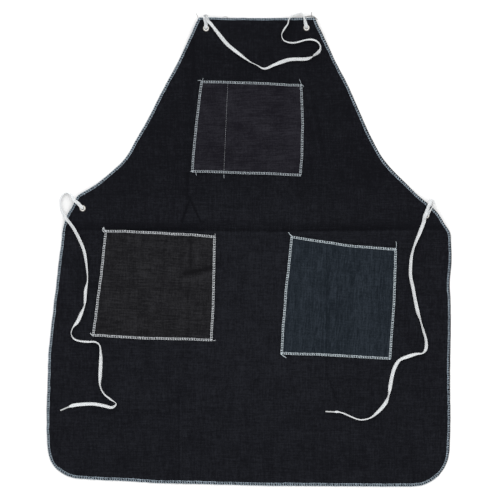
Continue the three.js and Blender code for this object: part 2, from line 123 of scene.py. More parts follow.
POCKETS = {
    "bib_pocket": {
        "corners": ((-84.3, 300.4), (92.4, 294.2), (91, 134.3), (-100.3, 140.9)),
        "bows": (0.7, 2.8, 0, 2.1),
        "folds": [((-20, 150), (-14, 285), (0.5, 0.5), (12, 12))],
        "puckers": [((62, 162), (88, 138), 1.2, 7)],
    },
    "left_pocket": {
        "corners": ((-252.8, 38), (-59.7, 28.2), (-65, -155.6), (-275.5, -147)),
        "bows": (1.8, 1, 0.9, -1),
        "folds": [
            ((-103, 48), (-103, -36), (1.2, 1.2), (7, 7)),
            ((-106.5, -46), (-107, -168), (1, 1), (7, 7)),
            ((-119, -42), (-50, -27), (2.4, 2.6), (9, 12)),
        ],
        "puckers": [((-252, -66), (-190, -36), 0.5, 5)],
    },
    "right_pocket": {
        "corners": ((73.4, 28.2), (258.5, 6.7), (248, -187.9), (55.2, -178.3)),
        "bows": (-3, 1.6, -0.7, 0.9),
        "folds": [
            ((137, 20), (136, -200), (0.8, 0.8), (7, 7)),
            ((135, -110), (134.5, -205), (0.8, 0.8), (5, 5)),
        ],
        "puckers": [],
    },
}


def fold_height(fold, x, y):
    """Nothing in the valley, a ridge on each side, level again a few reaches away."""
    start, end, heights, reaches = fold
    run = np.subtract(end, start)
    along = ((x - start[0]) * run[0] + (y - start[1]) * run[1]) / (run @ run)
    to_right = ((x - start[0]) * run[1] - (y - start[1]) * run[0]) / np.hypot(*run)
    height = np.where(to_right > 0, heights[1], heights[0])
    off = np.abs(to_right) / np.where(to_right > 0, reaches[1], reaches[0])
    ramp = smoothstep(along, 0, FOLD_FADE) * (1 - smoothstep(along, 1 - FOLD_FADE, 1))
    return height * ramp * off * np.exp(1 - off) * (1 - smoothstep(off, FOLD_LEVELS, FOLD_REACHES))


def pucker_height(pucker, x, y):
    """One ridge that dies away all round."""
    start, end, height, reach = pucker
    run = np.subtract(end, start)
    along = np.clip(((x - start[0]) * run[0] + (y - start[1]) * run[1]) / (run @ run), 0, 1)
    off = np.hypot(x - start[0] - along * run[0], y - start[1] - along * run[1]) / reach
    return height * np.exp(-off * off)


def ripple(x, y, size, seed):
    """Soft unevenness between -1 and 1."""
    points = np.stack([np.ravel(x) / size, np.ravel(y) / size], axis=1)
    values = [noise.noise((px, py, seed)) for px, py in points]
    return np.reshape(values, np.shape(x))


def panel_under(x, y):
    raised = np.zeros_like(x)
    for eye_x, eye_y in EYELETS.values():
        distance = np.hypot(x - eye_x, y - eye_y)
        raised = np.maximum(raised, 1 - smoothstep(distance, EYE_FLAT_RADIUS, EYE_RISE_RADIUS))
    height = RAISED_CLOTH * raised
    sag = WAIST_SAG["depth"] * np.exp(-((x - WAIST_SAG["middle"]) / WAIST_SAG["half_width"]) ** 2)
    folds = fold_height(WAIST_FOLD, x, y + sag) + sum(fold_height(fold, x, y) for fold in PANEL_FOLDS)
    uneven = sum((swell * ripple(x, y, size, seed) for swell, size, seed in PANEL_RIPPLES), PANEL_SWELL)
    return CLOTH_LIFT + height + (1 - raised) * (folds + np.maximum(uneven, 0))


def panel_top(x, y):
    return panel_under(x, y) + DENIM


def pocket_under(pocket, x, y):
    top_left, top_right, bottom_right, bottom_left = pocket["corners"]
    centre = (top_left[0] + bottom_right[0]) / 2
    half_width = (top_right[0] - top_left[0]) / 2
    hem = min(bottom_left[1], bottom_right[1])
    sideways = 1 - smoothstep(np.abs(x - centre), 0, half_width)
    upward = smoothstep(y - hem, 0, (top_left[1] - hem) / 2)
    relief = sum((fold_height(fold, x, y) for fold in pocket["folds"]), np.zeros_like(x))
    relief = sum((pucker_height(pucker, x, y) for pucker in pocket["puckers"]), relief)
    swell, size, seed = POCKET_RIPPLE
    relief = relief + swell * (1 + ripple(x, y, size, seed))
    return panel_top(x, y) + POCKET_GAP + POCKET_BELLY * sideways * upward + relief


def pocket_top(pocket, x, y):
    return pocket_under(pocket, x, y) + DENIM


# Outline of the body panel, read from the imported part

def crossings(node, axis, at):
    """Places along the other plan axis where the node's edges cross a line of the plan."""
    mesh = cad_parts[node].data
    points = np.array([vertex.co[:2] for vertex in mesh.vertices]) / MM
    ends = points[np.array([edge.vertices[:] for edge in mesh.edges])]
    from_line = ends[:, :, axis] - at
    crossing = from_line[:, 0] * from_line[:, 1] <= 0
    first, second = ends[crossing, 0], ends[crossing, 1]
    run = second[:, axis] - first[:, axis]
    share = np.clip((at - first[:, axis]) / np.where(run == 0, 1, run), 0, 1)
    return first[:, 1 - axis] * (1 - share) + second[:, 1 - axis] * share


def eased(values, passes):
    """The same values with the corners between straight pieces softened, and both ends kept."""
    values = np.array(values, float)
    for _ in range(passes):
        values[1:-1] = (values[:-2] + 2 * values[1:-1] + values[2:]) / 4
    return values


BIB_TOP = 411.2
ROUND_CORNERS = ((-300, -343.4, 53.6), (287.5, -347.3, 64))  # centre and radius of the hem's two corners
HALF_WAY_ROUND = math.sqrt(0.5)
LEFT_FOOT, RIGHT_FOOT = (
    (x + side * radius * HALF_WAY_ROUND, y - radius * HALF_WAY_ROUND)
    for side, (x, y, radius) in zip((-1, 1), ROUND_CORNERS)
)
OUTLINE_STEP = 3
TOP_MARGIN = 0.01  # the last place up the sides is just inside the cloth
SIDE_EASING = 2
HEM_EASING = 4
# How far the cut sides stray, over what length, and the seeds of the two sides
SIDE_WANDER = 0.5
SIDE_WANDER_LENGTH = 11
SIDE_SEEDS = (3.5, 9.5)
HEM_REACH = 150  # how far up the panel the rows still follow the curve of the hem
LEVEL_SHARE = 0.12  # share of the way up over which the rows turn level


class PanelOutline:
    """The panel's two long sides and its hem, as functions of height and of place across."""

    def __init__(self):
        heights = np.arange(min(LEFT_FOOT[1], RIGHT_FOOT[1]), BIB_TOP, OUTLINE_STEP)
        self.heights = np.append(heights, BIB_TOP - TOP_MARGIN)
        sides = [crossings("body_panel", 1, height) for height in self.heights]
        left_wander, right_wander = (self.wander(seed) for seed in SIDE_SEEDS)
        self.left = eased([side.min() for side in sides], SIDE_EASING) + left_wander
        self.right = eased([side.max() for side in sides], SIDE_EASING) + right_wander
        self.across = np.arange(LEFT_FOOT[0], RIGHT_FOOT[0] + OUTLINE_STEP, OUTLINE_STEP)
        self.hem = eased([crossings("body_panel", 0, place).min() for place in self.across], HEM_EASING)

    def wander(self, seed):
        strays = [noise.noise((height / SIDE_WANDER_LENGTH, seed, 0)) for height in self.heights]
        return SIDE_WANDER * np.array(strays)

    def left_at(self, y):
        return np.interp(y, self.heights, self.left)

    def right_at(self, y):
        return np.interp(y, self.heights, self.right)

    def hem_at(self, x):
        return np.interp(x, self.across, self.hem)

    def holds(self, x, y):
        between = (x > self.left_at(y)) & (x < self.right_at(y))
        return between & (y > self.hem_at(x)) & (y < BIB_TOP)

    def place(self, across, up):
        """Plan place for a share across the panel and a share up it."""
        left_y = LEFT_FOOT[1] + up * (BIB_TOP - LEFT_FOOT[1])
        right_y = RIGHT_FOOT[1] + up * (BIB_TOP - RIGHT_FOOT[1])
        level = smoothstep(up, 0, LEVEL_SHARE)
        middle_y = (left_y + right_y) / 2
        left_y = left_y + level * (middle_y - left_y)
        right_y = right_y + level * (middle_y - right_y)
        x = (1 - across) * self.left_at(left_y) + across * self.right_at(right_y)
        y = (1 - across) * left_y + across * right_y
        foot_x = (1 - across) * LEFT_FOOT[0] + across * RIGHT_FOOT[0]
        foot_y = (1 - across) * LEFT_FOOT[1] + across * RIGHT_FOOT[1]
        hold = 1 - smoothstep(up * (BIB_TOP - LEFT_FOOT[1]), 0, HEM_REACH)
        return x, y + hold * (self.hem_at(foot_x) - foot_y)


outline = PanelOutline()


# Mesh building

MERGE_DISTANCE = 1e-7  # metres
STEEP = 0.9  # rise from which a thread counts as upright
CURVE_STEPS = 16  # steps of a curve between two of its points


def new_object(name, data):
    made = bpy.data.objects.new(name, data)
    bpy.context.scene.collection.objects.link(made)
    return made


def mesh_from(name, bm):
    """The bmesh as a mesh of that name. The bmesh is used up."""
    mesh = bpy.data.meshes.new(name)
    bm.to_mesh(mesh)
    bm.free()
    return mesh


def finish_piece(name, bm, material, replaces=()):
    """The bmesh as an object of the apron, riding on its one body."""
    for face in bm.faces:
        face.smooth = True
    piece = new_object(name, mesh_from(name, bm))
    piece.data.materials.append(material)
    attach(piece, "root")
    if replaces:
        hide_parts(*replaces)
    return piece


def mapped_grid(columns, rows, place):
    """A grid whose corner points are put where place says, for shares across and up it."""
    bm = bmesh.new()
    bm.loops.layers.uv.new("UVMap")
    bmesh.ops.create_grid(bm, x_segments=columns, y_segments=rows, size=1, calc_uvs=True)
    shares = np.array([vertex.co[:2] for vertex in bm.verts]) / 2 + 0.5
    for vertex, spot in zip(bm.verts, place(shares[:, 0], shares[:, 1])):
        vertex.co = spot
    return bm


def thicken(bm, thickness):
    """The sheet in bm, as the lower side of a cloth with that thickness."""
    made = bmesh.ops.extrude_face_region(bm, geom=bm.faces[:])
    upper = [part for part in made["geom"] if isinstance(part, bmesh.types.BMVert)]
    bmesh.ops.translate(bm, verts=upper, vec=(0, 0, thickness * MM))
    bmesh.ops.recalc_face_normals(bm, faces=bm.faces[:])


def tube(rings):
    """A closed tube through rings of points, given as an array by ring, side and axis."""
    ring_count, side_count, _ = rings.shape

    def place(around, along):
        side = np.rint(around * side_count).astype(int) % side_count
        ring = np.rint(along * (ring_count - 1)).astype(int)
        return rings[ring, side]

    bm = mapped_grid(side_count, ring_count - 1, place)
    bmesh.ops.remove_doubles(bm, verts=bm.verts[:], dist=MERGE_DISTANCE)
    bmesh.ops.holes_fill(bm, edges=[edge for edge in bm.edges if edge.is_boundary], sides=0)
    bmesh.ops.recalc_face_normals(bm, faces=bm.faces[:])
    return bm


def along_path(points):
    """Distance along a path at each of its points."""
    steps = np.linalg.norm(np.diff(points, axis=0), axis=1)
    return np.concatenate([[0], np.cumsum(steps)])


def smooth_path(points, step):
    """A Catmull-Rom curve through rows of values, evenly spaced by its first three columns."""
    points = np.array(points, float)
    padded = np.vstack([2 * points[0] - points[1], points, 2 * points[-1] - points[-2]])
    fine = []
    for before, start, end, after in zip(padded, padded[1:], padded[2:], padded[3:]):
        for share in np.linspace(0, 1, CURVE_STEPS, endpoint=False):
            fine.append(0.5 * (
                2 * start + (end - before) * share
                + (2 * before - 5 * start + 4 * end - after) * share ** 2
                + (3 * start - before - 3 * end + after) * share ** 3))
    fine = np.vstack([fine, points[-1]])
    distance = along_path(fine[:, :3])
    spots = np.linspace(0, distance[-1], max(2, int(distance[-1] / step)) + 1)
    return np.stack([np.interp(spots, distance, column) for column in fine.T], axis=1)


def round_tube(points, radius, sides):
    """A round thread along points, given in millimetres."""
    points = np.array(points, float)
    tangents = np.gradient(points, axis=0)
    tangents /= np.linalg.norm(tangents, axis=1)[:, None]
    across = np.cross(tangents, np.where(np.abs(tangents[:, 2:3]) > STEEP, (1, 0, 0), (0, 0, 1)))
    across /= np.linalg.norm(across, axis=1)[:, None]
    out = np.cross(across, tangents)
    turn = np.arange(sides) * 2 * math.pi / sides
    rings = points[:, None] + radius * (
        np.cos(turn)[None, :, None] * across[:, None] + np.sin(turn)[None, :, None] * out[:, None])
    return tube(rings * MM)


# Shader building

MIX_FIRST, MIX_SECOND, MIX_COLOR = 6, 7, 2  # colour sockets of a Mix node


def feed(tree, socket, value):
    """Links an output to the socket, or sets a plain value on it."""
    if isinstance(value, bpy.types.NodeSocket):
        tree.links.new(value, socket)
    else:
        socket.default_value = value


def add_node(tree, kind, settings=None, **inputs):
    """A shader node with its settings, and its input sockets fed by name."""
    node = tree.nodes.new(kind)
    for key, value in (settings or {}).items():
        setattr(node, key, value)
    for key, value in inputs.items():
        feed(tree, node.inputs[key.replace("_", " ")], value)
    return node


def new_group(name, inputs, outputs):
    """An empty shader node group with its sockets, and its two end nodes."""
    group = bpy.data.node_groups.new(name, "ShaderNodeTree")
    for socket, kind in inputs.items():
        group.interface.new_socket(socket, in_out="INPUT", socket_type=kind)
    for socket, kind in outputs.items():
        group.interface.new_socket(socket, in_out="OUTPUT", socket_type=kind)
    return group, group.nodes.new("NodeGroupInput"), group.nodes.new("NodeGroupOutput")


def two_input_node(tree, kind, operation, first, second):
    node = add_node(tree, kind, {"operation": operation})
    for socket, value in zip(node.inputs, (first, second)):
        feed(tree, socket, value)
    return node


def math_node(tree, operation, first, second):
    return two_input_node(tree, "ShaderNodeMath", operation, first, second).outputs[0]


def vector_node(tree, operation, first, second):
    node = two_input_node(tree, "ShaderNodeVectorMath", operation, first, second)
    return node.outputs["Value" if operation in ("DOT_PRODUCT", "DISTANCE") else "Vector"]


def weighted_sum(tree, *parts):
    """Sum of values, each times its amount."""
    (value, amount), *others = parts
    total = math_node(tree, "MULTIPLY", value, amount)
    for value, amount in others:
        total = math_node(tree, "ADD", total, math_node(tree, "MULTIPLY", value, amount))
    return total


def object_spot(tree):
    return add_node(tree, "ShaderNodeTexCoord").outputs["Object"]


def stretched_noise(tree, vector, scale, detail):
    """Noise with scale grains to the metre, in one number or in one for each axis."""
    if isinstance(scale, int):
        scale = (scale, scale, scale)
    mapping = add_node(tree, "ShaderNodeMapping", Vector=vector, Scale=scale)
    grain = add_node(tree, "ShaderNodeTexNoise", Vector=mapping.outputs["Vector"], Scale=1.0, Detail=detail)
    return grain.outputs[0]


def mix_colors(tree, factor, first, second):
    mix = add_node(tree, "ShaderNodeMix", {"data_type": "RGBA"})
    feed(tree, mix.inputs["Factor"], factor)
    feed(tree, mix.inputs[MIX_FIRST], first)
    feed(tree, mix.inputs[MIX_SECOND], second)
    return mix.outputs[MIX_COLOR]


# Weave of the denim: grains to the metre, and the detail of their noise
WEAVE_GRAINS = {
    "warp": ((430, 42, 1), 4),
    "weft": ((42, 430, 1), 4),
    "warp_bands": ((105, 7, 1), 2),
    "weft_bands": ((7, 105, 1), 2),
    "mottle": (26, 3),
    "speckle": (330, 1),
    "grain": (1500, 1),
}
BAND_SHARE = 0.35  # the bands beside the slubs of the same threads
SPECKLE = 1.0
GRAIN = 0.5
TWILL = 0.35
TWILL_TURN = math.radians(62)
TWILL_WAVE = {"Scale": 380.0, "Distortion": 0.6, "Detail": 1.0}
FLECK_POWER = 1.4
WEAVE_RELIEF = {"twill": 0.6, "grain": 0.5, "warp": 0.5}


def denim_group():
    """Twill weave with slubs in both directions and a speckle, over a soft mottle. Tone shifts it all."""
    group, into, out = new_group(
        "denim_weave",
        {"Vector": "NodeSocketVector", "Dark": "NodeSocketColor", "Light": "NodeSocketColor",
         "Warp Slub": "NodeSocketFloat", "Weft Slub": "NodeSocketFloat", "Mottle": "NodeSocketFloat",
         "Tone": "NodeSocketFloat"},
        {"Color": "NodeSocketColor", "Height": "NodeSocketFloat"})
    vector = into.outputs["Vector"]
    weave = {name: stretched_noise(group, vector, *grain) for name, grain in WEAVE_GRAINS.items()}
    turned = add_node(group, "ShaderNodeMapping", Vector=vector, Rotation=(0, 0, TWILL_TURN))
    weave["twill"] = add_node(
        group, "ShaderNodeTexWave", Vector=turned.outputs["Vector"], **TWILL_WAVE).outputs["Fac"]
    warp_slub, weft_slub = into.outputs["Warp Slub"], into.outputs["Weft Slub"]
    amounts = {
        "warp": warp_slub,
        "weft": weft_slub,
        "warp_bands": math_node(group, "MULTIPLY", warp_slub, BAND_SHARE),
        "weft_bands": math_node(group, "MULTIPLY", weft_slub, BAND_SHARE),
        "mottle": into.outputs["Mottle"],
        "speckle": SPECKLE,
        "grain": GRAIN,
        "twill": TWILL,
    }
    # Tone brings in the painted crease shade and light, and the panel's colour ramps
    shade = math_node(group, "ADD", 0.5, into.outputs["Tone"])
    for name, amount in amounts.items():
        centred = math_node(group, "SUBTRACT", weave[name], 0.5)
        shade = math_node(group, "ADD", shade, math_node(group, "MULTIPLY", centred, amount))
    flecked = math_node(group, "POWER", math_node(group, "MAXIMUM", shade, 0), FLECK_POWER)
    color = mix_colors(group, flecked, into.outputs["Dark"], into.outputs["Light"])
    height = weighted_sum(group, *((weave[name], amount) for name, amount in WEAVE_RELIEF.items()))
    group.links.new(color, out.inputs["Color"])
    group.links.new(height, out.inputs["Height"])
    return group


def crease_group():
    """Mask of a crease line, from one place of the plan to another: the materials paint shade along it,
    painted light where its depth is below 0, and sink it into the bump.
    """
    group, into, out = new_group(
        "crease_line_mask",
        {"Vector": "NodeSocketVector", "Start": "NodeSocketVector", "End": "NodeSocketVector",
         "Width": "NodeSocketFloat"},
        {"Mask": "NodeSocketFloat"})
    run = vector_node(group, "SUBTRACT", into.outputs["End"], into.outputs["Start"])
    spot = vector_node(group, "SUBTRACT", into.outputs["Vector"], into.outputs["Start"])
    spot = vector_node(group, "MULTIPLY", spot, (1, 1, 0))
    share = math_node(
        group, "DIVIDE", vector_node(group, "DOT_PRODUCT", spot, run),
        vector_node(group, "DOT_PRODUCT", run, run))
    share = math_node(group, "MINIMUM", math_node(group, "MAXIMUM", share, 0), 1)
    nearest = vector_node(group, "MULTIPLY", run, share)
    off = math_node(group, "DIVIDE", vector_node(group, "DISTANCE", spot, nearest), into.outputs["Width"])
    mask = math_node(group, "POWER", math.exp(-1), math_node(group, "MULTIPLY", off, off))
    group.links.new(mask, out.inputs["Mask"])
    return group


# Spun thread: patches and fibres to the metre, and how far each of them lights it
THREAD_PATCHES = 300
THREAD_FIBRES = 2600
PATCH_LIGHT = 1.6
FIBRE_LIGHT = 0.3
THREAD_DARKER = 0.45


def thread_group():
    """Spun thread: uneven light and dark along it, with a hairy surface."""
    group, into, out = new_group(
        "spun_thread",
        {"Vector": "NodeSocketVector", "Dark": "NodeSocketColor", "Light": "NodeSocketColor"},
        {"Color": "NodeSocketColor", "Height": "NodeSocketFloat"})
    patch = stretched_noise(group, into.outputs["Vector"], THREAD_PATCHES, 3)
    fibre = stretched_noise(group, into.outputs["Vector"], THREAD_FIBRES, 2)
    light = weighted_sum(group, (patch, PATCH_LIGHT), (fibre, FIBRE_LIGHT))
    shade = math_node(group, "SUBTRACT", light, THREAD_DARKER)
    color = mix_colors(group, shade, into.outputs["Dark"], into.outputs["Light"])
    group.links.new(color, out.inputs["Color"])
    group.links.new(fibre, out.inputs["Height"])
    return group


DENIM_WEAVE = denim_group()
CREASE_LINE_MASK = crease_group()
SPUN_THREAD = thread_group()


def principled(name, **values):
    """A new material, its node tree and its shader, with the shader's sockets set by name."""
    material = bpy.data.materials.new(name)
    material.use_nodes = True
    shader = material.node_tree.nodes["Principled BSDF"]
    for socket, value in values.items():
        shader.inputs[socket.replace("_", " ")].default_value = value
    return material, material.node_tree, shader


def add_bump(tree, shader, height, distance, strength):
    bump = add_node(tree, "ShaderNodeBump", Height=height, Distance=distance, Strength=strength)
    tree.links.new(bump.outputs["Normal"], shader.inputs["Normal"])


# Painted crease shading: from, to, half width, and how much painted shade darkens the colour, or painted
# light lightens it below 0. The same amount sinks a groove in the bump.
PANEL_CREASE_SHADES = [
    ((-335, 46), (340, 46), 8, 0.25),
    ((-335, 42), (60, 38), 3, 0.22),
    ((60, 38), (340, 43.5), 3, 0.3),
    ((-335, 36), (60, 33.6), 2.4, -0.12),
    ((60, 33.6), (340, 36), 2.4, -0.14),
    ((-250, 47), (-75, 47), 6, 0.12),
    ((-108, 140), (-109, 94), 2.6, 0.45),
    ((-102.5, 97), (-118, 53), 1.7, 0.6),
    ((-105.5, 97), (-85, 54), 1.7, 0.65),
    ((-101.5, 205), (-101, 300), 4, 0.2),
    ((-98.5, 300), (-97.5, 370), 2.8, 0.38),
    ((110, 281), (133, 153), 3, 0.22),
    ((-124, -205), (-123.5, -400), 1.6, 0.12),
    ((-138, -190), (-136, -400), 12, 0.1),
    ((-120, -255), (-119.5, -400), 1, -0.3),
    ((134, -172), (137, -215), 1.8, 0.28),
    ((137, -215), (155, -264), 1.8, 0.32),
]
# Painted crease shading on the pockets, in the same columns
POCKET_CREASE_SHADES = {
    "bib_pocket": [((60, 160), (84, 140), 1.5, -0.15)],
    "left_pocket": [
        ((-103, 42), (-103, -25), 2.8, 0.34),
        ((-107.6, -52), (-107.6, -152), 3.6, 0.28),
        ((-113, -37.4), (-66, -27), 4.2, 0.6),
        ((-249.6, -64.5), (-195.2, -36.4), 1.5, -0.14),
        ((-110, -49.5), (-66, -39.5), 6.5, -0.3),
        ((-127, -44), (-115, -44), 1.2, 0.4),
    ],
    "right_pocket": [
        ((137.8, -4), (137.8, -182), 3.6, 0.24),
        ((135.3, -98), (134.6, -180), 1.1, 0.3),
        ((132.6, -105), (132, -182), 1.2, -0.22),
    ],
}


def crease_shade_and_grooves(tree, spot, creases):
    """Sum of the creases' masks, each times its depth: painted shade and light for the colour, and grooves
    for the bump.
    """
    total = 0.0
    for start, end, width, depth in creases:
        crease = add_node(
            tree, "ShaderNodeGroup", {"node_tree": CREASE_LINE_MASK}, Vector=spot, Width=width * MM,
            Start=(start[0] * MM, start[1] * MM, 0), End=(end[0] * MM, end[1] * MM, 0))
        total = math_node(tree, "ADD", total, math_node(tree, "MULTIPLY", crease.outputs["Mask"], depth))
    return total


# Ramps of the panel's colour, in metres: up from the waist, and out from the middle of the skirt
BIB_RAMP = {"From_Min": 0.02, "From_Max": 0.14, "To_Min": 0, "To_Max": -0.2}
SKIRT_RAMP = {"From_Min": 0.05, "From_Max": 0.34, "To_Min": 0.12, "To_Max": -0.06}
SKIRT_MIDDLE = (0, -0.09, 0)


def panel_ramp(tree, spot):
    """Darker up the bib, lightest in the middle of the skirt."""
    height = add_node(tree, "ShaderNodeSeparateXYZ", Vector=spot).outputs["Y"]
    distance = vector_node(tree, "DISTANCE", spot, SKIRT_MIDDLE)
    smooth = {"interpolation_type": "SMOOTHSTEP"}
    bib = add_node(tree, "ShaderNodeMapRange", smooth, Value=height, **BIB_RAMP)
    skirt = add_node(tree, "ShaderNodeMapRange", smooth, Value=distance, **SKIRT_RAMP)
    return math_node(tree, "ADD", bib.outputs["Result"], skirt.outputs["Result"])


def denim_material(name, dark, light, creases, turn=0, warp_slub=1.2, weft_slub=1.2, mottle=0.6, ramp=None):
    material, tree, shader = principled(name, Roughness=0.92, Specular_IOR_Level=0.06)
    spot = object_spot(tree)
    turned = add_node(tree, "ShaderNodeMapping", Vector=spot, Rotation=(0, 0, math.radians(turn)))
    # Painted shade and light along the creases, taken off the tone and the bump alike
    crease_shade_and_groove = crease_shade_and_grooves(tree, spot, creases)
    tone = math_node(tree, "SUBTRACT", ramp(tree, spot) if ramp else 0.0, crease_shade_and_groove)
    weave = add_node(
        tree, "ShaderNodeGroup", {"node_tree": DENIM_WEAVE}, Vector=turned.outputs["Vector"], Tone=tone,
        Dark=(*dark, 1), Light=(*light, 1), Warp_Slub=warp_slub, Weft_Slub=weft_slub, Mottle=mottle)
    tree.links.new(weave.outputs["Color"], shader.inputs["Base Color"])
    relief = math_node(tree, "SUBTRACT", weave.outputs["Height"], crease_shade_and_groove)
    add_bump(tree, shader, relief, distance=0.0003, strength=0.5)
    return material


def thread_material(name, dark, light):
    material, tree, shader = principled(name, Roughness=0.8, Specular_IOR_Level=0.2)
    thread = add_node(
        tree, "ShaderNodeGroup", {"node_tree": SPUN_THREAD}, Vector=object_spot(tree),
        Dark=(*dark, 1), Light=(*light, 1))
    tree.links.new(thread.outputs["Color"], shader.inputs["Base Color"])
    add_bump(tree, shader, thread.outputs["Height"], distance=0.0001, strength=0.5)
    return material


BRAID_RIBS = 300.0
BRAID_WEAR = 70  # patches to the metre
RIB_LIGHT = 0.45
WEAR_LIGHT = 0.55


def lace_material(name, dark, light):
    """White braid: ribs that meet in a herringbone down the middle of each side."""
    material, tree, shader = principled(
        name, Roughness=0.85, Specular_IOR_Level=0.25, Subsurface_Weight=0.5, Subsurface_Scale=0.004,
        Subsurface_Radius=(1, 1, 1), Sheen_Weight=0.4, Sheen_Roughness=0.6)
    braid = add_node(tree, "ShaderNodeUVMap", {"uv_map": "UVMap"}).outputs["UV"]
    parts = add_node(tree, "ShaderNodeSeparateXYZ", Vector=braid)
    fold = math_node(tree, "PINGPONG", parts.outputs["X"], LACE_WIDTH / 2 * MM)
    slant = math_node(tree, "ADD", parts.outputs["Y"], fold)
    ribs = add_node(tree, "ShaderNodeCombineXYZ", X=slant)
    wave = add_node(tree, "ShaderNodeTexWave", Vector=ribs.outputs["Vector"], Scale=BRAID_RIBS).outputs["Fac"]
    brightening = stretched_noise(tree, object_spot(tree), BRAID_WEAR, 3)
    shade = weighted_sum(tree, (wave, RIB_LIGHT), (brightening, WEAR_LIGHT))
    color = mix_colors(tree, shade, (*dark, 1), (*light, 1))
    tree.links.new(color, shader.inputs["Base Color"])
    add_bump(tree, shader, wave, distance=0.0002, strength=0.6)
    return material


# Ends of the nickel's colour: dark for tarnish and the painted dark reflection on the flange, light for
# bright metal and the painted highlight by the hole
NICKEL_DARK = (0.03, 0.025, 0.02, 1)
NICKEL_LIGHT = (0.82, 0.8, 0.76, 1)
NICKEL_TARNISH = 300  # patches to the metre
NICKEL_SCRATCHES = (900, 6000, 3000)
TARNISH_LIGHT = 0.4
RIM_HIGHLIGHT = 0.8


def rough_from(tree, shader, value, least, amount):
    """Roughness that grows with the value from the least one."""
    rough = math_node(tree, "ADD", least, math_node(tree, "MULTIPLY", value, amount))
    tree.links.new(rough, shader.inputs["Roughness"])


def nickel_material():
    """Nickel with random tarnish, painted dark out on the flange as a painted dark reflection and light
    towards the hole as a painted highlight.
    """
    material, tree, shader = principled("satin_nickel", Metallic=1.0)
    spot = object_spot(tree)
    tarnish = stretched_noise(tree, spot, NICKEL_TARNISH, 3)
    scratch = stretched_noise(tree, spot, NICKEL_SCRATCHES, 2)
    # The brightening attribute paints the highlight by the hole and the dark reflection on the flange
    brightening = add_node(tree, "ShaderNodeAttribute", {"attribute_name": "brightening"}).outputs["Fac"]
    lightness = weighted_sum(tree, (tarnish, TARNISH_LIGHT), (brightening, RIM_HIGHLIGHT))
    color = mix_colors(tree, lightness, NICKEL_DARK, NICKEL_LIGHT)
    tree.links.new(color, shader.inputs["Base Color"])
    rough_from(tree, shader, scratch, least=0.18, amount=0.25)
    add_bump(tree, shader, scratch, distance=0.00005, strength=0.3)
    return material


TIP_DULL = (0.3, 0.31, 0.32, 1)
TIP_CLEAR = (0.5, 0.51, 0.5, 1)
TIP_HAZE = 700  # patches to the metre


def tip_material():
    material, tree, shader = principled("lace_tip_film", Specular_IOR_Level=0.5, Coat_Weight=0.3)
    haze = stretched_noise(tree, object_spot(tree), TIP_HAZE, 2)
    color = mix_colors(tree, haze, TIP_DULL, TIP_CLEAR)
    tree.links.new(color, shader.inputs["Base Color"])
    rough_from(tree, shader, haze, least=0.2, amount=0.25)
    add_bump(tree, shader, haze, distance=0.0001, strength=0.3)
    return material


panel_denim = denim_material(
    "panel_denim", (0.0033, 0.0035, 0.0051), (0.0108, 0.0116, 0.0152), PANEL_CREASE_SHADES, ramp=panel_ramp)
pocket_denims = {
    "bib_pocket": denim_material(
        "bib_pocket_denim", (0.0055, 0.005, 0.0077), (0.0164, 0.0159, 0.0208),
        POCKET_CREASE_SHADES["bib_pocket"], turn=-2, warp_slub=0.7, weft_slub=1.7, mottle=1.3),
    "left_pocket": denim_material(
        "left_pocket_denim", (0.0051, 0.005, 0.006), (0.0177, 0.0177, 0.0198),
        POCKET_CREASE_SHADES["left_pocket"], turn=2.6, warp_slub=1.2, weft_slub=1.7, mottle=0.7),
    "right_pocket": denim_material(
        "right_pocket_denim", (0.0059, 0.0087, 0.0122), (0.0191, 0.025, 0.0329),
        POCKET_CREASE_SHADES["right_pocket"], turn=4, warp_slub=2, weft_slub=0.8, mottle=0.7),
}
panel_thread = thread_material("panel_thread", (0.08, 0.105, 0.132), (0.48, 0.575, 0.655))
slot_thread = thread_material("pencil_slot_thread", (0.085, 0.09, 0.098), (0.47, 0.49, 0.52))
tail_thread = thread_material("tail_thread", (0.06, 0.06, 0.06), (0.3, 0.3, 0.29))
pocket_threads = {
    "bib_pocket": thread_material("bib_pocket_thread", (0.093, 0.106, 0.115), (0.57, 0.63, 0.675)),
    "left_pocket": thread_material("left_pocket_thread", (0.175, 0.185, 0.195), (0.8, 0.835, 0.865)),
    "right_pocket": thread_material("right_pocket_thread", (0.15, 0.177, 0.2), (0.75, 0.84, 0.88)),
}
neck_braid = lace_material("neck_braid", (0.415, 0.428, 0.437), (0.595, 0.615, 0.628))
# The ties' braid is the neck braid made lighter: painted light that makes up for the shade on their tilted
# runs
lightened_tie_braid = lace_material("lightened_tie_braid", (0.45, 0.464, 0.473), (0.645, 0.666, 0.68))
satin_nickel = nickel_material()
tip_film = tip_material()


# Cloth pieces

SPAN_EDGE = 0.03  # share over which the steps grow finer beside a span
SPAN_PLACES = 2001


def uneven_shares(count, spans):
    """Shares from 0 to 1 for count steps, closer together inside the given spans."""
    fine = np.linspace(0, 1, SPAN_PLACES)
    density = np.ones_like(fine)
    for start, end, times in spans:
        begun = smoothstep(fine, start - SPAN_EDGE, start)
        over = smoothstep(fine, end, end + SPAN_EDGE)
        density += (times - 1) * begun * (1 - over)
    total = np.concatenate([[0], np.cumsum((density[1:] + density[:-1]) / 2)])
    return np.interp(np.linspace(0, total[-1], count + 1), total, fine)


PANEL_COLUMNS = 190
PANEL_ROWS = 240
# Spans of the panel with closer lines, as shares: from, to, and how many times closer
FINE_COLUMNS = [(0.25, 0.36, 2.4), (0.69, 0.86, 1.5)]
FINE_ROWS = [(0.515, 0.55, 5), (0.56, 0.61, 2)]
# Punch for the eyelets' holes
PUNCH_RADIUS = BARREL_RADIUS + 0.1
PUNCH_DEPTH = 12
PUNCH_SIDES = 32


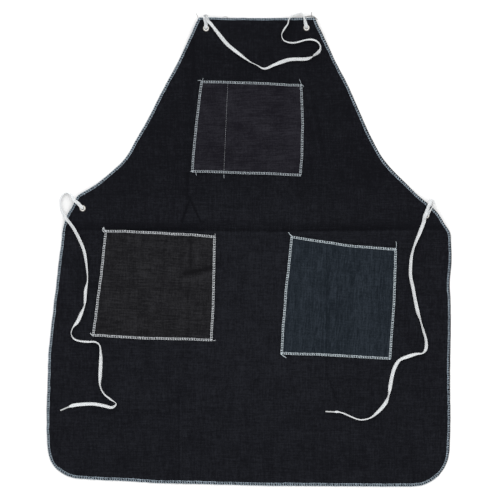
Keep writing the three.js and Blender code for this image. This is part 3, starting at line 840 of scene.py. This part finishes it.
def body_cloth():
    across_lines = uneven_shares(PANEL_COLUMNS, FINE_COLUMNS)
    up_lines = uneven_shares(PANEL_ROWS, FINE_ROWS)

    def place(across, up):
        across = across_lines[np.rint(across * PANEL_COLUMNS).astype(int)]
        up = up_lines[np.rint(up * PANEL_ROWS).astype(int)]
        x, y = outline.place(across, up)
        return np.stack([x, y, panel_under(x, y)], axis=1) * MM

    bm = mapped_grid(PANEL_COLUMNS, PANEL_ROWS, place)
    thicken(bm, DENIM)
    cloth = finish_piece("body_cloth", bm, panel_denim, ["body_panel"])
    cut_eyelet_holes(cloth)
    return cloth


def cut_eyelet_holes(cloth):
    bm = bmesh.new()
    for x, y in EYELETS.values():
        bmesh.ops.create_cone(
            bm, cap_ends=True, segments=PUNCH_SIDES, radius1=PUNCH_RADIUS * MM, radius2=PUNCH_RADIUS * MM,
            depth=PUNCH_DEPTH * MM, matrix=Matrix.Translation(Vector((x, y, RAISED_CLOTH)) * MM))
    punch = new_object("eyelet_punch", mesh_from("eyelet_punch", bm))
    cut = cloth.modifiers.new("eyelet_holes", "BOOLEAN")
    cut.operation = "DIFFERENCE"
    cut.solver = "EXACT"
    cut.object = punch
    punched = bpy.data.meshes.new_from_object(cloth.evaluated_get(bpy.context.evaluated_depsgraph_get()))
    cloth.modifiers.remove(cut)
    whole = cloth.data
    cloth.data = punched
    bpy.data.meshes.remove(whole)
    bpy.data.objects.remove(punch)


def pocket_side(pocket, side, share):
    """Plan places along one side of a pocket, top, right, bottom and left in turn."""
    start = np.array(pocket["corners"][side], float)
    end = np.array(pocket["corners"][(side + 1) % 4], float)
    run = end - start
    outward = np.array([-run[1], run[0]]) / np.hypot(*run)
    bow = pocket["bows"][side] * 4 * share * (1 - share)
    return start + np.multiply.outer(share, run) + np.multiply.outer(bow, outward)


POCKET_CELLS = 84


def pocket_cloth(name):
    pocket = POCKETS[name]

    def place(across, up):
        top_left, top_right, bottom_right, bottom_left = np.array(pocket["corners"], float)
        across, up = across[:, None], up[:, None]
        top = pocket_side(pocket, 0, across[:, 0])
        right = pocket_side(pocket, 1, 1 - up[:, 0])
        bottom = pocket_side(pocket, 2, 1 - across[:, 0])
        left = pocket_side(pocket, 3, up[:, 0])
        flat = (1 - up) * bottom + up * top + (1 - across) * left + across * right - (
            (1 - across) * (1 - up) * bottom_left + across * (1 - up) * bottom_right
            + (1 - across) * up * top_left + across * up * top_right)
        x, y = flat.T
        return np.stack([x, y, pocket_under(pocket, x, y)], axis=1) * MM

    bm = mapped_grid(POCKET_CELLS, POCKET_CELLS, place)
    thicken(bm, DENIM)
    return finish_piece(f"{name}_cloth", bm, pocket_denims[name], [name])


# Stitching

class SewnEdge:
    """An edge as a path in the plan, with the way in from it on its left hand."""

    def __init__(self, points):
        self.points = np.array(points, float)
        self.at = along_path(self.points)
        self.length = self.at[-1]
        ways = np.gradient(self.points, self.at, axis=0)
        self.ways = ways / np.linalg.norm(ways, axis=1)[:, None]

    def place(self, along, inward):
        x, y = (np.interp(along, self.at, column) for column in self.points.T)
        way_x, way_y = (np.interp(along, self.at, column) for column in self.ways.T)
        return x - inward * way_y, y + inward * way_x


OVERLOCK_PITCH = 4.1
OVERLOCK_THREADS = {
    # Each thread's radius and sides, then its places:
    # along the edge in pitches, across the seam as a share from its tip, and above the cloth
    "legs": (0.37, 5, [
        (0.08, 1, 0.05), (0.26, 0.63, 0.4), (0.47, 0.2, 0.3), (0.6, 0, -0.35),
        (0.64, 0.2, 0.3), (0.62, 0.63, 0.4), (0.58, 1, 0.05)]),
    "needle": (0.34, 5, [(0.08, 1, -0.35), (0.28, 1.01, 0.34), (0.76, 1.01, 0.34), (0.96, 1, -0.35)]),
    "edge_chain": (0.24, 5, [(0, 0.06, 0.1), (0.3, 0.11, 0.36), (0.7, 0.1, 0.36), (1, 0.06, 0.1)]),
    "under": (0.22, 4, [
        (0, 0.9, -0.95), (0.3, 0.3, -0.98), (0.5, 0, -0.42), (0.7, 0.3, -0.98), (1, 0.9, -0.95)]),
}
# How far the stitches reach out past the edge and in from it
BODY_SEAM = {"threads": ("legs", "needle", "edge_chain", "under"), "out": 0.1, "in": 3.8}
HEM_SEAM = {**BODY_SEAM, "in": 4.7}
TOP_SEAM = {**BODY_SEAM, "in": 3.2}
RIGHT_SEAM = {"threads": ("legs", "needle", "under"), "out": -1, "in": 4.3}
POCKET_SEAM = {"threads": ("legs", "needle", "edge_chain"), "out": 0.7, "in": 2.9}
# How far the legs of a stitch stray along the edge, and their reach by what share
STITCH_DRIFT = 0.2
STITCH_UNEVEN = 0.1
# How far the whole seam strays to either side, and over how many stitches
SEAM_WANDER = 0.3
WANDER_STITCHES = 9
EDGE_MARGIN = 0.2  # a thread past the edge lies as high as the cloth this far inside it
# Places along an edge, and the seeds of the chance in the stitches
SIDE_PLACES = 500
HEM_PLACES = 400
POCKET_PLACES = 60
BODY_SEED = 11
FIRST_POCKET_SEED = 20


def one_stitch(seam, pitch):
    """Points, looseness and faces of one stitch, with the edge as a straight line along the first axis."""
    points, loose, faces = [], [], []
    for thread in seam["threads"]:
        radius, sides, path = OVERLOCK_THREADS[thread]
        reach = seam["out"] + seam["in"]
        places = [(along * pitch, across * reach - seam["out"], up) for along, across, up in path]
        bm = round_tube(places, radius, sides)
        first = len(points)
        points += [vertex.co / MM for vertex in bm.verts]
        loose += [float(thread == "legs")] * len(bm.verts)
        faces += [[first + vertex.index for vertex in face.verts] for face in bm.faces]
        bm.free()
    return np.array(points), np.array(loose), faces


def sew(name, sewn, height, material, seed):
    """The same stitch again and again along each edge and its seam, with legs that differ a little."""
    points, faces, made = [], [], 0
    chance = np.random.default_rng(seed)
    for edge, seam in sewn:
        count = int(edge.length / OVERLOCK_PITCH)
        pitch = edge.length / count
        stitch, loose, stitch_faces = one_stitch(seam, pitch)
        starts = np.arange(count) * pitch
        along = starts[:, None] + stitch[None, :, 0] + loose * chance.normal(0, STITCH_DRIFT, (count, 1))
        along = np.clip(along, 0, edge.length)
        inward = stitch[None, :, 1] * (1 + loose * chance.normal(0, STITCH_UNEVEN, (count, 1)))
        stray = np.convolve(chance.normal(size=count), np.ones(WANDER_STITCHES), "same")
        inward += SEAM_WANDER * np.interp(along, starts + pitch / 2, stray / WANDER_STITCHES**0.5)
        x, y = edge.place(along, inward)
        base_x, base_y = edge.place(along, np.maximum(inward, EDGE_MARGIN))
        z = height(base_x, base_y) + stitch[None, :, 2]
        points.append(np.stack([x, y, z], axis=2).reshape(-1, 3) * MM)
        for number in range(count):
            first = made + number * len(stitch)
            faces += [[first + corner for corner in face] for face in stitch_faces]
        made += count * len(stitch)
    mesh = bpy.data.meshes.new(name)
    mesh.from_pydata(np.vstack(points), [], faces)
    bm = bmesh.new()
    bm.from_mesh(mesh)
    bpy.data.meshes.remove(mesh)
    return finish_piece(name, bm, material)


def body_overlock():
    up = np.linspace(0, 1, SIDE_PLACES)
    across = np.linspace(0, 1, HEM_PLACES)
    left = np.stack(outline.place(np.zeros_like(up), up[::-1]), axis=1)
    hem = np.stack(outline.place(across, np.zeros_like(across)), axis=1)
    right = np.stack(outline.place(np.ones_like(up), up), axis=1)
    top = np.stack(outline.place(across[::-1], np.ones_like(across)), axis=1)
    sewn = [
        (SewnEdge(left), BODY_SEAM), (SewnEdge(hem), HEM_SEAM),
        (SewnEdge(right), RIGHT_SEAM), (SewnEdge(top), TOP_SEAM)]
    return sew("body_overlock", sewn, panel_top, panel_thread, BODY_SEED)


def pocket_overlock(name, seed):
    pocket = POCKETS[name]
    share = np.linspace(1, 0, POCKET_PLACES)
    sewn = [(SewnEdge(pocket_side(pocket, side, share)), POCKET_SEAM) for side in range(4)]

    def height(x, y):
        return pocket_top(pocket, x, y)

    return sew(f"{name}_overlock", sewn, height, pocket_threads[name], seed)


# Eyelets, knots and lace tips

# Section of an eyelet with its washer, as distances from its middle and heights
EYELET_SECTION = [
    (EYE_RADIUS, WASHER_BOTTOM + 0.3), (EYE_RADIUS + 0.25, WASHER_BOTTOM + 0.05),
    (EYE_RADIUS + 0.6, WASHER_BOTTOM), (FLANGE_RADIUS - 0.2, WASHER_BOTTOM),
    (FLANGE_RADIUS, WASHER_BOTTOM + 0.3), (FLANGE_RADIUS - 0.2, WASHER_TOP),
    (BARREL_RADIUS, WASHER_TOP), (BARREL_RADIUS, FLANGE_BOTTOM),
    (FLANGE_RADIUS - 0.2, FLANGE_BOTTOM - 0.1), (FLANGE_RADIUS, FLANGE_BOTTOM + 0.1),
    (FLANGE_RADIUS - 0.25, FLANGE_BOTTOM + 0.4), (FLANGE_RADIUS - 0.9, FLANGE_TOP - 0.25),
    (FLANGE_RADIUS - 1.7, FLANGE_TOP), (EYE_RADIUS + 0.8, FLANGE_TOP - 0.1),
    (EYE_RADIUS + 0.25, FLANGE_TOP - 0.5), (EYE_RADIUS, FLANGE_BOTTOM - 0.2),
]
EYELET_STEPS = 48
HIGHLIGHT_RADIUS = EYE_RADIUS + 0.6  # painted highlight out to here
DARK_REFLECTION_RADIUS = FLANGE_RADIUS - 0.5  # and painted dark reflection from here on


def set_eyelet(place):
    x, y = EYELETS[place]
    bm = bmesh.new()
    ring = [bm.verts.new(((x + radius) * MM, y * MM, z * MM)) for radius, z in EYELET_SECTION]
    edges = [bm.edges.new((start, end)) for start, end in zip(ring, ring[1:] + ring[:1])]
    bmesh.ops.spin(
        bm, geom=ring + edges, cent=(x * MM, y * MM, 0), axis=(0, 0, 1), angle=2 * math.pi,
        steps=EYELET_STEPS, use_merge=True)
    bmesh.ops.recalc_face_normals(bm, faces=bm.faces[:])
    # A ring of painted highlight by the hole that gives way to painted dark reflection out on the flange
    brightening = bm.verts.layers.float.new("brightening")
    for vertex in bm.verts:
        radius = math.hypot(vertex.co.x / MM - x, vertex.co.y / MM - y)
        vertex[brightening] = 1 - smoothstep(radius, HIGHLIGHT_RADIUS, DARK_REFLECTION_RADIUS)
    return finish_piece(f"eyelet_{place}", bm, satin_nickel, [f"grommet_{place}"])


KNOT_REACH = 1.35
KNOT_RISE = 0.85
KNOT_LACE_RADIUS = 1.3
KNOT_PLACES = 97
KNOT_SIDES = 10


def overhand_knot(place):
    x, y = EYELETS[place]
    turn = np.linspace(0, 2 * math.pi, KNOT_PLACES)
    path = np.stack([
        x + KNOT_REACH * (np.sin(turn) + 2 * np.sin(2 * turn)),
        y + KNOT_REACH * (np.cos(turn) - 2 * np.cos(2 * turn)),
        KNOT_MIDDLE - KNOT_RISE * np.sin(3 * turn),
    ], axis=1)
    bm = round_tube(path, KNOT_LACE_RADIUS, KNOT_SIDES)
    braid = neck_braid if place.startswith("bib") else lightened_tie_braid
    return finish_piece(f"overhand_knot_{place}", bm, braid, [f"knot_{place}"])


LACE_TIPS = {
    # where the lace goes in, and the way that the tip points from there
    "left": ((-317.2, -271.6), (-14.8, -6.4)),
    "right": ((149.2, -280.2), (-15.5, 0.8)),
}
TIP_CLEARANCE = 0.1
TIP_CHECKS = 9
TIP_SIDES = 20
# Shape of a tip: shares of its length and of its radius
TIP_SHAPE = [(0, 0.7), (0.02, 0.95), (0.06, 1), (0.1, 0.97), (0.5, 1), (0.9, 0.98), (0.97, 0.9), (1, 0.6)]


def tip_start(side):
    """Middle of the tip's end nearest the lace, high enough for the whole tip to clear the cloth."""
    (x, y), heading = LACE_TIPS[side]
    heading = np.array(heading) / np.hypot(*heading) * TIP_LENGTH
    share = np.linspace(0, 1, TIP_CHECKS)
    rest = panel_top(x + share * heading[0], y + share * heading[1]).max()
    return np.array([x, y, rest + TIP_CLEARANCE + TIP_RADIUS]), np.array([*heading, 0]) / TIP_LENGTH


def lace_tip(side):
    start, heading = tip_start(side)
    across = np.array([-heading[1], heading[0], 0])
    turn = np.arange(TIP_SIDES) * 2 * math.pi / TIP_SIDES
    circle = np.cos(turn)[:, None] * across + np.sin(turn)[:, None] * np.array([0, 0, 1])
    rings = [start + heading * share * TIP_LENGTH + TIP_RADIUS * size * circle for share, size in TIP_SHAPE]
    bm = tube(np.array(rings) * MM)
    return finish_piece(f"lace_tip_{side}", bm, tip_film, [f"aglet_{side}"])


# Laces

# Routes: x, y, lean in degrees, lift above what is under it
# At lean 0 a lace lies flat, at 90 it stands on edge and at 180 it lies turned over
NECK_ROUTE = [
    (-75.8, 402.5, 172, 2.4), (-77.4, 409, 162, 4), (-78, 413.4, 130, 5), (-75.2, 416, 100, 5),
    (-72.2, 414, 82, 5), (-73, 409.3, 55, 2), (-71.6, 404.8, 30, 0.4), (-67.2, 400.2, 28, 0.2),
    (-61.7, 393.3, 38, 0.2),
    (-47.8, 375.7, 8, 0), (-37.2, 363.8, 18, 0), (-19.4, 349.5, 34, 0), (0.8, 334.7, 73, 0),
    (12.8, 328.6, 81, 0), (27, 322.1, 57, 0), (45.3, 329.4, 37, 0), (61.2, 335.5, 5, 0),
    (75.1, 338.5, 24, 0), (99.1, 339, 24, 0), (109, 342, 64, 0), (114.3, 345.6, 118, 0),
    (121.8, 351.2, 140, 0), (125.2, 360, 108, 0), (120.5, 368.3, 113, 0), (110.8, 372.5, 122, 0),
    (99.1, 372, 115, 0), (85.1, 368.2, 116, 0), (73, 367.2, 115, 0), (61.3, 371.2, 108, 0),
    (57, 381, 91, 0), (61.4, 390.9, 66, 0), (67.5, 399.8, 72, 0), (69.8, 408.2, 75, 0.5),
    (76, 415, 70, 5), (84, 418.5, 72, 4), (91, 420, 78, 4), (94.8, 416.5, 80, 4),
    (97, 408.5, 55, 1.8),
]
LEFT_ROUTE = [
    (-299.4, 85.5, 158, 0.5), (-306.6, 91.8, 150, 6), (-311.5, 99.5, 122, 3), (-318, 104.5, 110, 0.5),
    (-325.5, 102.5, 112, 0), (-331, 93, 118, 0), (-330.7, 80, 120, 0), (-327.2, 69, 130, 1),
    (-321, 60, 144, 5), (-307.2, 40.9, 148, 0), (-294, 14, 146, 0), (-288, -5, 138, 0),
    (-284.6, -30, 119, 0), (-283.6, -50, 105, 0), (-287, -67, 143, 0), (-287.9, -84, 135, 0),
    (-289.4, -95.1, 109, 0), (-294.8, -108.1, 150, 0), (-300.8, -121.1, 156, 0), (-309, -132, 105, 0),
    (-312.2, -142, 97, 0), (-308, -151, 75, 0), (-298, -155.5, 70, 0), (-283, -157, 64, 0),
    (-270, -157.3, 73, 0), (-262.2, -163.4, 80, 0), (-260.4, -177, 59, 0), (-260.4, -193, 28, 0),
    (-261.4, -216, 32, 0), (-261.3, -234, 75, 0), (-254.9, -247.9, 77, 0), (-243, -258, 73, 0),
    (-233.5, -265.4, 106, 0), (-241.1, -272.2, 131, 0), (-256, -269, 145, 0), (-275, -266.1, 144, 0),
    (-297, -267.1, 152, 0), (-308.9, -268.9, 163, 0),
]
RIGHT_ROUTE = [
    (315.3, 70.7, 125, 1), (319.5, 76.5, 108, 4.6), (322.8, 81.8, 100, 5), (325, 86.8, 98, 2.5),
    (323.6, 91.2, 100, 2.5), (320.4, 92.4, 116, 5), (317.7, 88.3, 148, 6), (314.4, 80.5, 168, 3.8),
    (311.1, 71.5, 175, 3), (307.4, 62.2, 165, 2.6), (306, 53.1, 165, 0.6), (302.8, 44.1, 168, 0),
    (298, 32, 152, 0), (292.6, 19.1, 130, 0), (288, 6, 116, 0), (284.2, -12, 135, 0),
    (283.1, -40, 143, 0), (287.3, -62, 145, 0), (290.6, -80, 143, 0), (295.2, -102, 156, 0),
    (300.5, -120.1, 104, 0), (305.4, -137.1, 120, 0), (310, -153, 125, 0), (310.3, -168, 143, 0),
    (304.6, -176.7, 104, 0), (292.9, -178.6, 127, 0), (280, -182.5, 157, 0), (264.7, -188.7, 134, 0),
    (256.5, -200, 164, 0), (251, -216, 158, 0), (247.2, -237, 159, 0), (244.7, -250.9, 105, 0),
    (239, -265, 155, 0), (227, -279, 138, 0), (214, -289.5, 106, 0), (202, -293.5, 102, 0),
    (191, -293, 102, 0), (178, -288, 105, 0), (167, -283, 105, 0), (157.1, -280.1, 107, 0),
]
LACE_STEP = 1.6
LACE_SIDES = 14
LACE_SQUARENESS = 0.6  # power that fills out the section of a lace, below 1
LACE_CLEARANCE = 0.05
LEAST_STEP = 1e-9  # stands in for no step at all, where a lace goes straight up
FLANGE_CLEARANCE = 0.2
# Passes that ease a lace's way and the height that it rests at
WAY_EASING = 2
FIRST_REST_EASING = 6
LAST_REST_EASING = 10


def filled_out(value):
    return np.sign(value) * np.abs(value) ** LACE_SQUARENESS


def rest_height(x, y):
    """Top of what lies under a lace."""
    height = np.where(outline.holds(x, y), panel_top(x, y), 0)
    for eye_x, eye_y in EYELETS.values():
        distance = np.hypot(x - eye_x, y - eye_y)
        height = np.where(distance < FLANGE_RADIUS + FLANGE_CLEARANCE, FLANGE_TOP, height)
    return height


# From behind an eyelet to its flange: way out from its middle, height, width of the lace
EYE_PASS = [
    (-0.7, KNOT_TOP - 1.2, 4), (-0.7, FLANGE_BOTTOM - 1.2, 4), (-0.4, FLANGE_TOP, 4.2),
    (1, FLANGE_TOP + 1.5, 5), (4, FLANGE_TOP + 1.7, 6),
]


def laid_flat(lean):
    """The nearest lean at which the lace lies flat on one of its sides."""
    return 180 * round(lean / 180)


def eye_rows(place, towards):
    """Rows of a lace through an eyelet: x, y, height, lean, lift, width, share held."""
    x, y = EYELETS[place]
    heading = np.subtract(towards[:2], (x, y))
    heading = heading / np.hypot(*heading)
    lean = laid_flat(towards[2])
    return [
        (x + heading[0] * out, y + heading[1] * out, z, lean, 0, width, 1)
        for out, z, width in EYE_PASS
    ]


def route_rows(route):
    return [(x, y, FLANGE_TOP, lean, lift, LACE_WIDTH, 0) for x, y, lean, lift in route]


def lace(name, rows, node, material):
    """A flat lace that rests on what is under it, apart from where its eyelets and its tip hold it."""
    path = smooth_path([(x, y, held * z, z, *rest, held) for x, y, z, *rest, held in rows], LACE_STEP)
    x, y, _, held_z, lean, lift, width, held = path.T
    width = np.clip(width, TIP_LACE_WIDTH, LACE_WIDTH)
    lean = np.radians(lean)
    held = smoothstep(held, 0, 1)
    thickness = LACE_THICKNESS + LACE_GATHER * (1 - width / LACE_WIDTH)
    ways = np.gradient(np.stack([x, y], axis=1), axis=0)
    ways = eased(ways / np.maximum(np.linalg.norm(ways, axis=1), LEAST_STEP)[:, None], WAY_EASING)
    ways /= np.linalg.norm(ways, axis=1)[:, None]
    turn = (np.arange(LACE_SIDES) + 0.5) * 2 * math.pi / LACE_SIDES
    wide = filled_out(np.cos(turn))[None] * width[:, None] / 2
    thick = filled_out(np.sin(turn))[None] * thickness[:, None] / 2
    sideways = wide * np.cos(lean)[:, None] - thick * np.sin(lean)[:, None]
    upward = wide * np.sin(lean)[:, None] + thick * np.cos(lean)[:, None]
    under_x = x[:, None] + sideways * ways[:, 1:2]
    under_y = y[:, None] - sideways * ways[:, 0:1]
    resting = (rest_height(under_x, under_y) - upward).max(axis=1) + LACE_CLEARANCE + np.maximum(lift, 0)
    bridged = np.maximum(resting, eased(resting, FIRST_REST_EASING))
    eased_rest = np.maximum(resting, eased(bridged, LAST_REST_EASING))
    spine = np.stack([x, y, held * held_z + (1 - held) * eased_rest], axis=1)
    climb = np.gradient(spine, axis=0)
    climb = (climb / np.linalg.norm(climb, axis=1)[:, None])[:, 2]
    side_axis = np.stack([ways[:, 1], -ways[:, 0], np.zeros_like(x)], axis=1)
    up_axis = np.stack([-ways[:, 0] * climb, -ways[:, 1] * climb, np.sqrt(1 - climb ** 2)], axis=1)
    section = sideways[:, :, None] * side_axis[:, None] + upward[:, :, None] * up_axis[:, None]
    bm = tube((spine[:, None] + section) * MM)
    braid = bm.loops.layers.uv.active
    length = along_path(spine)[-1]
    for face in bm.faces:
        for corner in face.loops:
            corner[braid].uv = (corner[braid].uv.x * 2 * LACE_WIDTH * MM, corner[braid].uv.y * length * MM)
    piece = finish_piece(name, bm, material, [node])
    return piece, spine * MM


def neck_lace():
    rows = eye_rows("bib_left", NECK_ROUTE[0]) + route_rows(NECK_ROUTE)
    rows += eye_rows("bib_right", NECK_ROUTE[-1])[::-1]
    return lace("neck_lace", rows, "neck_tape", neck_braid)


def waist_lace(side, route):
    place = f"waist_{side}"
    start, _ = tip_start(side)
    last = (*start, laid_flat(route[-1][2]), 0, TIP_LACE_WIDTH, 1)
    rows = eye_rows(place, route[0]) + route_rows(route) + [last]
    return lace(f"{side}_waist_lace", rows, f"waist_tie_{side}", lightened_tie_braid)


# Seam of the pencil slot, and the thread tails

PENCIL_SEAM = ((-37.5, 297.5), (-44.7, 133))
SEAM_STITCH = 3.4
SEAM_RADIUS = 0.17
SEAM_RISE = 0.2
SEAM_SHOWS = (0.12, 0.88)  # shares of a stitch between which its thread is on top
SEAM_PLACES = 5
THREAD_SIDES = 6


def join(bm, part):
    """Adds the part's mesh to bm."""
    mesh = mesh_from("part", part)
    bm.from_mesh(mesh)
    bpy.data.meshes.remove(mesh)


def pencil_slot_seam():
    pocket = POCKETS["bib_pocket"]
    start, end = (np.array(point, float) for point in PENCIL_SEAM)
    count = int(np.hypot(*(end - start)) / SEAM_STITCH)
    bm = bmesh.new()
    for number in range(count):
        share = (number + np.linspace(*SEAM_SHOWS, SEAM_PLACES)) / count
        x, y = (start + np.multiply.outer(share, end - start)).T
        z = pocket_top(pocket, x, y) + SEAM_RISE * np.sin(np.linspace(0, math.pi, SEAM_PLACES))
        join(bm, round_tube(np.stack([x, y, z], axis=1), SEAM_RADIUS, THREAD_SIDES))
    return finish_piece("pencil_slot_seam", bm, slot_thread)


# Tails: strands in each loose end of thread, and the places that it passes over
POCKET_TAILS = {
    "bib_pocket": [
        (2, [(-82, 299.5), (-86, 301.5), (-90, 301)]), (1, [(-82, 299), (-81.5, 303), (-80.5, 306)]),
        (1, [(92, 294), (90, 299), (88, 304)]), (1, [(93, 294), (95, 292), (95.5, 290)]),
        (1, [(-99, 141), (-102, 142.5), (-103, 141.5)]), (1, [(-94, 141), (-93, 137), (-92, 135)]),
        (1, [(-44, 136), (-44.3, 133), (-43.9, 130)]),
    ],
    "left_pocket": [
        (2, [(-252, 36), (-255, 40), (-255.5, 44)]), (2, [(-254.5, 35), (-257, 38.5), (-256.5, 42.5)]),
        (1, [(-251.5, 37), (-253.5, 41), (-253.8, 43.5)]), (1, [(-60, 29), (-59.5, 31), (-60, 32.5)]),
        (2, [(-272, -147), (-276, -145), (-279, -141.5)]), (1, [(-64, -155), (-61, -155), (-58.5, -154)]),
    ],
    "right_pocket": [
        (2, [(75, 28), (71.5, 31.5), (69, 35)]), (1, [(258, 8), (258.5, 13), (257.5, 19)]),
        (2, [(56, -179), (60, -182), (65, -185)]),
    ],
}
PANEL_TAILS = [
    (1, [(-89.5, 410), (-91, 415), (-92.8, 419.3)]),
    (2, [(109.3, 411.5), (109.2, 416), (109.5, 420.8)]),
    (2, [(93, 411.6), (99, 412.6), (107, 412.8), (113, 411.8), (118.5, 408.8)]),
    (2, [(97.5, 412.2), (103.5, 414), (109.5, 414.4), (115, 412.2), (119.6, 407.8)]),
    (1, [(-47.7, 409.5), (-44.8, 412.4), (-41.5, 413.4), (-38.8, 412.4), (-37.1, 409.5)]),
]
TAIL_RADIUS = 0.34
TAIL_STEP = 0.6
TAIL_LIFT = 0.5
TAIL_TURN = 3.2  # length of one turn of a tail's strands about each other


def thread_tail(strands, places, height):
    """A tail's strands, wound about each other where there are two."""
    x, y, _ = smooth_path([(*place, 0) for place in places], TAIL_STEP).T
    along = along_path(np.stack([x, y], axis=1))
    way = np.gradient(np.stack([x, y], axis=1), along, axis=0)
    swing = TAIL_RADIUS * (strands - 1)
    bm = bmesh.new()
    for strand in range(strands):
        phase = 2 * math.pi * (along / TAIL_TURN + strand / strands)
        out = swing * np.cos(phase)
        z = height(x, y) + TAIL_LIFT + swing * (1 + np.sin(phase))
        path = np.stack([x - out * way[:, 1], y + out * way[:, 0], z], axis=1)
        join(bm, round_tube(path, TAIL_RADIUS, THREAD_SIDES))
    return bm


def panel_tails():
    bm = bmesh.new()
    for strands, places in PANEL_TAILS:
        join(bm, thread_tail(strands, places, panel_top))
    return finish_piece("panel_tails", bm, tail_thread)


def pocket_tails(name):
    bm = bmesh.new()
    for strands, places in POCKET_TAILS[name]:
        join(bm, thread_tail(strands, places, lambda x, y: pocket_top(POCKETS[name], x, y)))
    return finish_piece(f"{name}_tails", bm, pocket_threads[name])


# Stage

def set_stage():
    bm = bmesh.new()
    bmesh.ops.create_grid(bm, x_segments=1, y_segments=1, size=TABLE_HALF_SIDE)
    table = new_object("table_top", mesh_from("table_top", bm))
    white, _, _ = principled(
        "white_table", Base_Color=(*3 * [TABLE_WHITE], 1), Roughness=0.9, Specular_IOR_Level=0.1)
    table.data.materials.append(white)

    key = bpy.data.lights.new("key", "SUN")
    key.energy = KEY_STRENGTH
    key.angle = math.radians(KEY_SPREAD)
    lamp = new_object("key", key)
    lamp.rotation_mode = "QUATERNION"
    lamp.rotation_quaternion = KEY_DIRECTION.to_track_quat("Z", "Y")

    sky = bpy.data.worlds.new("soft_white")
    sky.use_nodes = True
    background = sky.node_tree.nodes["Background"]
    background.inputs["Color"].default_value = (1, 1, 1, 1)
    background.inputs["Strength"].default_value = SKY_STRENGTH
    bpy.context.scene.world = sky

    camera = new_object("camera", bpy.data.cameras.new("camera"))
    camera.data.sensor_width = SENSOR_WIDTH
    camera.data.lens = SENSOR_WIDTH * CAMERA_HEIGHT / (PHOTO_SIDE * MM)
    camera.location = (PHOTO_CENTRE[0] * MM, PHOTO_CENTRE[1] * MM, CAMERA_HEIGHT)
    bpy.context.scene.camera = camera
    bpy.context.scene.view_settings.view_transform = "Standard"


# Assembly

set_stage()

tips = {side: lace_tip(side) for side in LACE_TIPS}
knots = {place: overhand_knot(place) for place in EYELETS}
neck, neck_path = neck_lace()
left_tie, left_path = waist_lace("left", LEFT_ROUTE)
right_tie, right_path = waist_lace("right", RIGHT_ROUTE)

for place in EYELETS:
    set_eyelet(place)

body = body_cloth()
pockets = {name: pocket_cloth(name) for name in POCKETS}
overlock = body_overlock()
pocket_seams = {name: pocket_overlock(name, seed) for seed, name in enumerate(POCKETS, FIRST_POCKET_SEED)}
pencil_seam = pencil_slot_seam()
loose_ends = panel_tails()
pocket_ends = {name: pocket_tails(name) for name in POCKETS}
